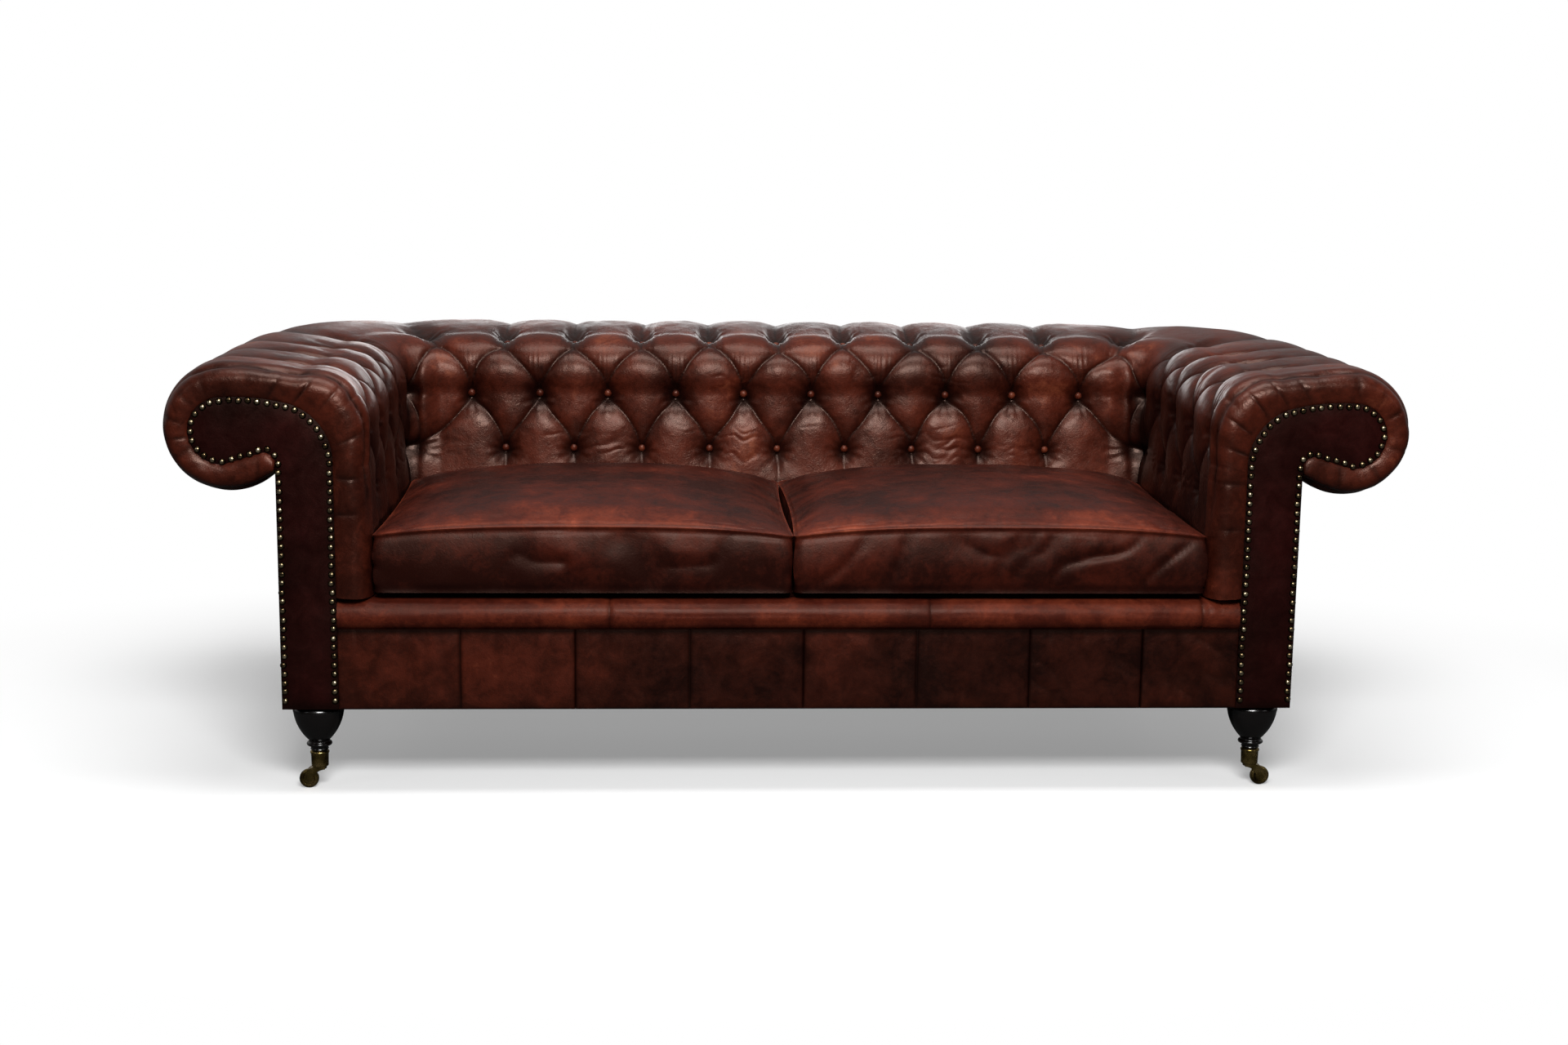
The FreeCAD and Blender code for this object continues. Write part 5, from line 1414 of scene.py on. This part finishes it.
def start_material(name):
    material = bpy.data.materials.new(name)
    material.use_nodes = True
    tree = material.node_tree
    shader = next(node for node in tree.nodes if node.type == "BSDF_PRINCIPLED")
    place = add(tree, "ShaderNodeTexCoord").outputs["Object"]
    return material, tree, shader, place


def grey(value):
    return [value, value, value, 1.0]


WAX_TINT = "#f4c4b0"


def leather_material(name, tones, roughness, gloss, shine, grain_depth):
    """Aniline leather, drum-dyed, hand-rubbed and waxed.

    Cloudy dye with a pebbled grain, fine pull-up wrinkles and a soft wax sheen that breaks up over
    the grain. Its crowns are lighter and its hollows darker, partly rubbed wear and partly painted
    shade; creases, seams and pits are painted near-black as shade. The grain's pebbles are drawn
    2.6 mm wide, coarser than real ones, so that they show.
    """
    material, tree, shader, place = start_material(name)
    clouds = {"Vector": place, "Scale": 1 / 0.150, "Detail": 4.0, "Roughness": 0.6}
    patches = {"Vector": place, "Scale": 1 / 0.034, "Detail": 5.0, "Roughness": 0.7, "Distortion": 0.6}
    specks = {"Vector": place, "Scale": 1 / 0.007, "Detail": 3.0, "Roughness": 0.7}
    wrinkles = {"Vector": place, "Scale": 1 / 0.011, "Detail": 4.0, "Roughness": 0.65, "Distortion": 1.2}
    cloud, patch, speck, wrinkle = (
        add(tree, "ShaderNodeTexNoise", pattern).outputs["Fac"]
        for pattern in (clouds, patches, specks, wrinkles)
    )
    # This mark lightens the dye where crowns, seams and cushion fronts are rubbed, and darkens it as painted
    # shade in hollows, pleats, low on the inner arms and on the boxing.
    wear_and_shade = add(tree, "ShaderNodeAttribute", attribute_name="wear_and_shade").outputs["Fac"]
    crease_shade = add(tree, "ShaderNodeAttribute", attribute_name="crease_shade").outputs["Fac"]
    level = add(tree, "ShaderNodeMath", {0: cloud, 1: 0.9}, operation="MULTIPLY").outputs[0]
    for part, weight in ((patch, 0.55), (speck, 0.22), (wear_and_shade, 0.42)):
        weighed = {0: part, 1: weight, 2: level}
        level = add(tree, "ShaderNodeMath", weighed, operation="MULTIPLY_ADD").outputs[0]
    level = add(tree, "ShaderNodeMapRange", {"Value": level, "From Min": 0.86, "From Max": 1.52}).outputs[0]
    tone = add(tree, "ShaderNodeValToRGB", {"Fac": level}, list(zip((0.0, 0.38, 0.70, 1.0), tones)))
    # Painted shade: the crease mark mixes the dye towards the near-black fifth tone in creases, seams, pits and
    # under edges.
    dark = add(tree, "ShaderNodeMath", {0: crease_shade, 1: 0.92}, operation="MULTIPLY", use_clamp=True).outputs[0]
    dye_and_crease_shade = {0: dark, 6: tone.outputs["Color"], 7: linear(tones[4])}
    colour = add(tree, "ShaderNodeMix", dye_and_crease_shade, data_type="RGBA").outputs[2]
    matt = add(tree, "ShaderNodeMapRange", {
        "Value": patch, "From Min": 0.3, "From Max": 0.7,
        "To Min": roughness - 0.07, "To Max": roughness + 0.09,
    })
    pebbles = {"Vector": place, "Scale": 1 / 0.0026, "Randomness": 1.0}
    pebble = add(tree, "ShaderNodeTexVoronoi", pebbles, feature="SMOOTH_F1").outputs["Distance"]
    grain = add(tree, "ShaderNodeBump", {"Height": pebble, "Strength": 0.35, "Distance": grain_depth})
    relief = add(tree, "ShaderNodeBump", {
        "Height": wrinkle, "Strength": 0.3, "Distance": 4 * grain_depth, "Normal": grain.outputs["Normal"],
    })
    set_inputs(tree, shader, {
        "Base Color": colour,
        "Roughness": matt.outputs[0],
        "Normal": relief.outputs["Normal"],
        "Specular IOR Level": shine,
        "Specular Tint": linear(WAX_TINT),
        "Coat Weight": gloss,
        "Coat Roughness": 0.28,
    })
    return material


def brass_material():
    """Antique brass, cast or pressed, lacquered over a brown patina: olive gold, darker in its hollows."""
    material, tree, shader, place = start_material("antique_brass_lacquered")
    clouds = {"Vector": place, "Scale": 1 / 0.016, "Detail": 3.0, "Roughness": 0.5}
    cloud = add(tree, "ShaderNodeTexNoise", clouds).outputs["Fac"]
    fine = add(tree, "ShaderNodeTexNoise", {"Vector": place, "Scale": 1 / 0.0018, "Detail": 2.0}).outputs["Fac"]
    stops = [(0.30, "#4a3a20"), (0.5, "#86723f"), (0.70, "#b59a63")]
    tone = add(tree, "ShaderNodeValToRGB", {"Fac": cloud}, stops)
    rough = add(tree, "ShaderNodeMapRange", {"Value": fine, "To Min": 0.16, "To Max": 0.34})
    bump = add(tree, "ShaderNodeBump", {"Height": fine, "Strength": 0.25, "Distance": 0.0003})
    set_inputs(tree, shader, {
        "Base Color": tone.outputs["Color"],
        "Roughness": rough.outputs[0],
        "Normal": bump.outputs["Normal"],
        "Metallic": 1.0,
    })
    return material


def nail_material():
    """Antique brass nail heads, pressed and rubbed: a bright crown over a nearly black patinated rim."""
    material, tree, shader, place = start_material("antique_brass_nail_head")
    rise = add(tree, "ShaderNodeAttribute", attribute_name="rise").outputs["Fac"]
    clouds = {"Vector": place, "Scale": 1 / 0.012, "Detail": 3.0}
    cloud = add(tree, "ShaderNodeTexNoise", clouds).outputs["Fac"]
    level = add(tree, "ShaderNodeMath", {0: cloud, 1: 0.8, 2: rise}, operation="MULTIPLY_ADD").outputs[0]
    level = add(tree, "ShaderNodeMapRange", {"Value": level, "From Min": 0.35, "From Max": 1.6}).outputs[0]
    stops = [(0.0, "#060403"), (0.50, "#1a1209"), (0.78, "#6a5a40"), (1.0, "#d6c8a8")]
    tone = add(tree, "ShaderNodeValToRGB", {"Fac": level}, stops)
    rough = add(tree, "ShaderNodeMapRange", {"Value": cloud, "To Min": 0.18, "To Max": 0.40})
    set_inputs(tree, shader, {
        "Base Color": tone.outputs["Color"],
        "Roughness": rough.outputs[0],
        "Metallic": 1.0,
    })
    return material


def wood_material(name, tones, roughness, coat, ring):
    """Hardwood, turned or sawn: grain drawn out along the height, rings about a third of ring apart."""
    material, tree, shader, place = start_material(name)
    drawn = add(tree, "ShaderNodeMapping", {"Vector": place, "Scale": (1.0, 1.0, 0.12)}).outputs[0]
    rings = {"Vector": drawn, "Scale": 1 / ring, "Distortion": 6.0, "Detail": 3.0, "Detail Scale": 1.5}
    wave = add(tree, "ShaderNodeTexWave", rings).outputs["Fac"]
    lines = {"Vector": drawn, "Scale": 1 / 0.0016, "Detail": 2.0}
    pores = add(tree, "ShaderNodeTexNoise", lines).outputs["Fac"]
    blend = add(tree, "ShaderNodeMath", {0: pores, 1: 0.5, 2: wave}, operation="MULTIPLY_ADD").outputs[0]
    tone = add(tree, "ShaderNodeValToRGB", {"Fac": blend}, [(0.2, tones[0]), (1.0, tones[1])])
    spread = {"Value": pores, "To Min": roughness - 0.05, "To Max": roughness + 0.08}
    rough = add(tree, "ShaderNodeMapRange", spread)
    bump = add(tree, "ShaderNodeBump", {"Height": pores, "Strength": 0.12, "Distance": 0.0003})
    set_inputs(tree, shader, {
        "Base Color": tone.outputs["Color"],
        "Roughness": rough.outputs[0],
        "Normal": bump.outputs["Normal"],
        "Coat Weight": coat,
        "Coat Roughness": 0.06,
    })
    return material


def woven_material(name, tones, thread, roughness):
    """Plain woven cloth, matt: two crossed sets of threads, drawn about twice as far apart as thread."""
    material, tree, shader, place = start_material(name)
    threads = {"Vector": place, "Scale": 1 / thread / 6.283, "Distortion": 0.4}
    warp = add(tree, "ShaderNodeTexWave", threads, bands_direction="X").outputs["Fac"]
    weft = add(tree, "ShaderNodeTexWave", threads, bands_direction="Y").outputs["Fac"]
    weave = add(tree, "ShaderNodeMath", {0: warp, 1: weft}, operation="MULTIPLY").outputs[0]
    tone = add(tree, "ShaderNodeValToRGB", {"Fac": weave}, [(0.0, tones[0]), (1.0, tones[1])])
    bump = add(tree, "ShaderNodeBump", {"Height": weave, "Strength": 0.5, "Distance": 0.0004})
    set_inputs(tree, shader, {
        "Base Color": tone.outputs["Color"],
        "Normal": bump.outputs["Normal"],
        "Roughness": roughness,
    })
    return material


def foam_material():
    """Polyurethane foam, cut: pale cream with open cells, drawn 2.2 mm wide so that they show."""
    material, tree, shader, place = start_material("polyurethane_foam_cut")
    cells = add(tree, "ShaderNodeTexVoronoi", {"Vector": place, "Scale": 1 / 0.0022}).outputs["Distance"]
    tone = add(tree, "ShaderNodeValToRGB", {"Fac": cells}, [(0.0, "#c9bd93"), (0.6, "#e9dfbd")])
    bump = add(tree, "ShaderNodeBump", {"Height": cells, "Strength": 0.6, "Distance": 0.0008})
    set_inputs(tree, shader, {
        "Base Color": tone.outputs["Color"],
        "Normal": bump.outputs["Normal"],
        "Roughness": 0.95,
    })
    return material


def steel_material():
    """Spring steel wire, drawn and oiled: dark grey metal with small cloudy marks."""
    material, tree, shader, place = start_material("spring_steel_oiled")
    clouds = {"Vector": place, "Scale": 1 / 0.002, "Detail": 3.0}
    marks = add(tree, "ShaderNodeTexNoise", clouds).outputs["Fac"]
    tone = add(tree, "ShaderNodeValToRGB", {"Fac": marks}, [(0.3, "#3d3f42"), (0.7, "#8c8f93")])
    rough = add(tree, "ShaderNodeMapRange", {"Value": marks, "To Min": 0.25, "To Max": 0.5})
    set_inputs(tree, shader, {
        "Base Color": tone.outputs["Color"],
        "Roughness": rough.outputs[0],
        "Metallic": 1.0,
    })
    return material


WOODEN_NODES = (
    "seat_", "arm_front_post", "arm_posts", "arm_stuffing", "arm_top", "back_posts", "back_stuffing",
    "back_top", "rear_corner", "corner_blocks", "frame_dowels",
)
STEEL_NODES = ("seat_springs", "spring_clips", "leg_bolts")


def cad_finishes(wood, steel):
    """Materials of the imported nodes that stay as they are, by the start of their names; steel comes last."""
    for name, node in frame["nodes"].items():
        for starts, material in ((WOODEN_NODES, wood), (STEEL_NODES, steel)):
            if name.startswith(starts):
                refinish(node, material)


# Camera, floor and light

CAMERA_PLACE = (-0.2055, -4.0267, 1.1228)
CAMERA_YAW = math.radians(3.02)
CAMERA_PITCH = math.radians(10.34)
CAMERA_ROLL = math.radians(-0.70)
FOCAL_PIXELS = 2652
IMAGE_WIDTH = 1920
SENSOR_WIDTH = 36
FLOOR_HALF = 30
FLOOR_SEEN = 0.95
FLOOR_UNSEEN = 0.06
BACKDROP_IN_FRONT = 0.03
BACKDROP_BEHIND = 0.34
ROOM_LIGHT = 0.16


def stand(holder, right, up, back, place):
    """Links a camera or lamp at a place with its three axes; it looks away from its back axis."""
    axes = np.eye(4)
    axes[:3] = np.stack([right, up, back, place], axis=1)
    holder.matrix_world = Matrix(axes.tolist())
    bpy.context.scene.collection.objects.link(holder)


def camera():
    """Camera at the photograph's place; its axes come from yaw, pitch and roll."""
    forward = np.array([
        math.sin(CAMERA_YAW) * math.cos(CAMERA_PITCH),
        math.cos(CAMERA_YAW) * math.cos(CAMERA_PITCH),
        -math.sin(CAMERA_PITCH),
    ])
    right = np.array([math.cos(CAMERA_YAW), -math.sin(CAMERA_YAW), 0])
    up = np.cross(right, forward)
    turned_right = right * math.cos(CAMERA_ROLL) - up * math.sin(CAMERA_ROLL)
    turned_up = right * math.sin(CAMERA_ROLL) + up * math.cos(CAMERA_ROLL)
    data = bpy.data.cameras.new("camera")
    data.sensor_fit = "HORIZONTAL"
    data.sensor_width = SENSOR_WIDTH
    data.lens = FOCAL_PIXELS * SENSOR_WIDTH / IMAGE_WIDTH
    holder = bpy.data.objects.new("camera", data)
    stand(holder, turned_right, turned_up, -forward, CAMERA_PLACE)
    bpy.context.scene.camera = holder


def floor():
    """Large matt floor: to the camera pale near the sofa and white further out, to all other rays dark.

    The white is an emission of strength 1, mixed in by the distance from the middle on an oval.
    """
    corners = [(x * FLOOR_HALF, y * FLOOR_HALF, 0) for x, y in ((-1, -1), (1, -1), (1, 1), (-1, 1))]
    mesh = bpy.data.meshes.new("floor")
    mesh.from_pydata(corners, [], [(0, 1, 2, 3)])
    piece = bpy.data.objects.new("floor", mesh)
    bpy.context.scene.collection.objects.link(piece)
    material, tree, shader, place = start_material("studio_floor_matt_white")
    seen = add(tree, "ShaderNodeLightPath").outputs["Is Camera Ray"]
    tones = {0: seen, 6: grey(FLOOR_UNSEEN), 7: grey(FLOOR_SEEN)}
    tone = add(tree, "ShaderNodeMix", tones, data_type="RGBA").outputs[2]
    set_inputs(tree, shader, {"Base Color": tone, "Roughness": 1.0, "Specular IOR Level": 0.0})
    squeezed = add(tree, "ShaderNodeMapping", {"Vector": place, "Scale": (0.62, 1.0, 1.0)}).outputs[0]
    reach = add(tree, "ShaderNodeVectorMath", {0: squeezed}, operation="LENGTH").outputs["Value"]
    oval = {"Value": reach, "From Min": 0.75, "From Max": 1.45, "To Min": 0.28}
    far = add(tree, "ShaderNodeMapRange", oval, interpolation_type="SMOOTHSTEP").outputs[0]
    share = add(tree, "ShaderNodeMath", {0: far, 1: seen}, operation="MULTIPLY").outputs[0]
    glow = add(tree, "ShaderNodeEmission", {"Color": grey(1.0), "Strength": 1.0}).outputs[0]
    mixed = add(tree, "ShaderNodeMixShader", {0: share, 1: shader.outputs[0], 2: glow})
    output = next(node for node in tree.nodes if node.type == "OUTPUT_MATERIAL")
    tree.links.new(mixed.outputs[0], output.inputs["Surface"])
    mesh.materials.append(material)


def world():
    """White backdrop for the camera.

    Glossy and clear rays see it grey behind the sofa and nearly black in front, all other rays dim.
    """
    space = bpy.data.worlds.new("studio")
    bpy.context.scene.world = space
    space.use_nodes = True
    tree = space.node_tree
    background = next(node for node in tree.nodes if node.type == "BACKGROUND")
    path = add(tree, "ShaderNodeLightPath").outputs
    direction = add(tree, "ShaderNodeTexCoord").outputs["Generated"]
    across = add(tree, "ShaderNodeSeparateXYZ", {0: direction}).outputs["Y"]
    behind = add(tree, "ShaderNodeMapRange", {
        "Value": across, "From Min": -0.2, "From Max": 0.5,
        "To Min": BACKDROP_IN_FRONT, "To Max": BACKDROP_BEHIND,
    }).outputs[0]
    rays = {0: path["Is Glossy Ray"], 1: path["Is Transmission Ray"]}
    sharp = add(tree, "ShaderNodeMath", rays, operation="MAXIMUM").outputs[0]
    seen = add(tree, "ShaderNodeMath", {0: sharp, 1: behind}, operation="MULTIPLY").outputs[0]
    camera_ray = path["Is Camera Ray"]
    white = add(tree, "ShaderNodeMath", {0: camera_ray, 1: seen}, operation="MAXIMUM").outputs[0]
    other = add(tree, "ShaderNodeMath", {0: camera_ray, 1: sharp}, operation="MAXIMUM").outputs[0]
    rest = add(tree, "ShaderNodeMath", {0: 1.0, 1: other}, operation="SUBTRACT").outputs[0]
    mixed = {0: rest, 1: ROOM_LIGHT, 2: white}
    strength = add(tree, "ShaderNodeMath", mixed, operation="MULTIPLY_ADD").outputs[0]
    set_inputs(tree, background, {"Strength": strength, "Color": grey(1.0)})


def lamp(name, place, aim, size, power):
    """Rectangular soft box at a place, turned to face a point."""
    data = bpy.data.lights.new(name, "AREA")
    data.shape = "RECTANGLE"
    data.size, data.size_y = size
    data.energy = power
    away = np.asarray(place, float) - np.asarray(aim, float)
    away /= np.linalg.norm(away)
    right = np.cross((0, 1, 0) if abs(away[2]) > 0.95 else (0, 0, 1), away)
    right /= np.linalg.norm(right)
    stand(bpy.data.objects.new(name, data), right, np.cross(away, right), away, place)


def studio():
    floor()
    world()
    lamp("key_softbox", (0.0, -3.3, 2.6), (0, 0, 0.5), (1.5, 0.9), 150)
    lamp("top_softbox", (0.0, -0.5, 3.3), (0, 0, 0), (2.6, 1.4), 85)
    lamp("back_softbox", (0.0, 3.4, 1.05), (0, 0.4, 0.4), (2.6, 0.8), 26)
    lamp("left_softbox", (-3.4, -2.4, 2.2), (0, 0, 0.4), (0.8, 1.2), 5)
    lamp("right_softbox", (3.4, -2.4, 2.2), (0, 0, 0.4), (0.8, 1.2), 5)


bpy.context.scene.view_settings.view_transform = "Standard"
camera()
studio()

# The fifth tone of each leather is the near-black of the painted crease shade.
main_leather = leather_material(
    "aniline_leather_hand_rubbed_oxblood", ("#120302", "#2d0e07", "#46190e", "#6a3320", "#0a0201"),
    roughness=0.35, gloss=0.05, shine=0.33, grain_depth=0.0005,
)
cushion_leather = leather_material(
    "aniline_leather_seat_cushions", ("#200805", "#40150c", "#602616", "#86402a", "#120302"),
    roughness=0.47, gloss=0.02, shine=0.20, grain_depth=0.0004,
)
facing_leather = leather_material(
    "aniline_leather_dark_maroon_facing", ("#0e0101", "#1a0303", "#260606", "#330d0d", "#060000"),
    roughness=0.38, gloss=0.03, shine=0.26, grain_depth=0.0003,
)
foam = foam_material()
nail_brass = nail_material()
brass = brass_material()
leg_wood = wood_material("beech_turned_black_lacquered", ("#020101", "#090504"), 0.22, 0.3, 0.012)
frame_wood = wood_material("beech_sawn_bare", ("#9c7a4e", "#d0b27f"), 0.65, 0.0, 0.009)
lining = woven_material("cambric_woven_black", ("#060606", "#1c1c1c"), 0.0012, 0.9)
deck_cloth = woven_material("cotton_deck_cloth_woven", ("#2a1d15", "#5a4636"), 0.0011, 0.9)

tufted_covers(main_leather)
buttons(main_leather)
facings(facing_leather, nail_brass)
lip(cushion_leather)
border(main_leather)
cushions(cushion_leather, foam)
outside_covers(main_leather)
legs_and_castors(leg_wood, brass)
dust_cover(lining)
deck_cloth_cover(deck_cloth)
foam_blocks(foam)
cad_finishes(frame_wood, steel_material())
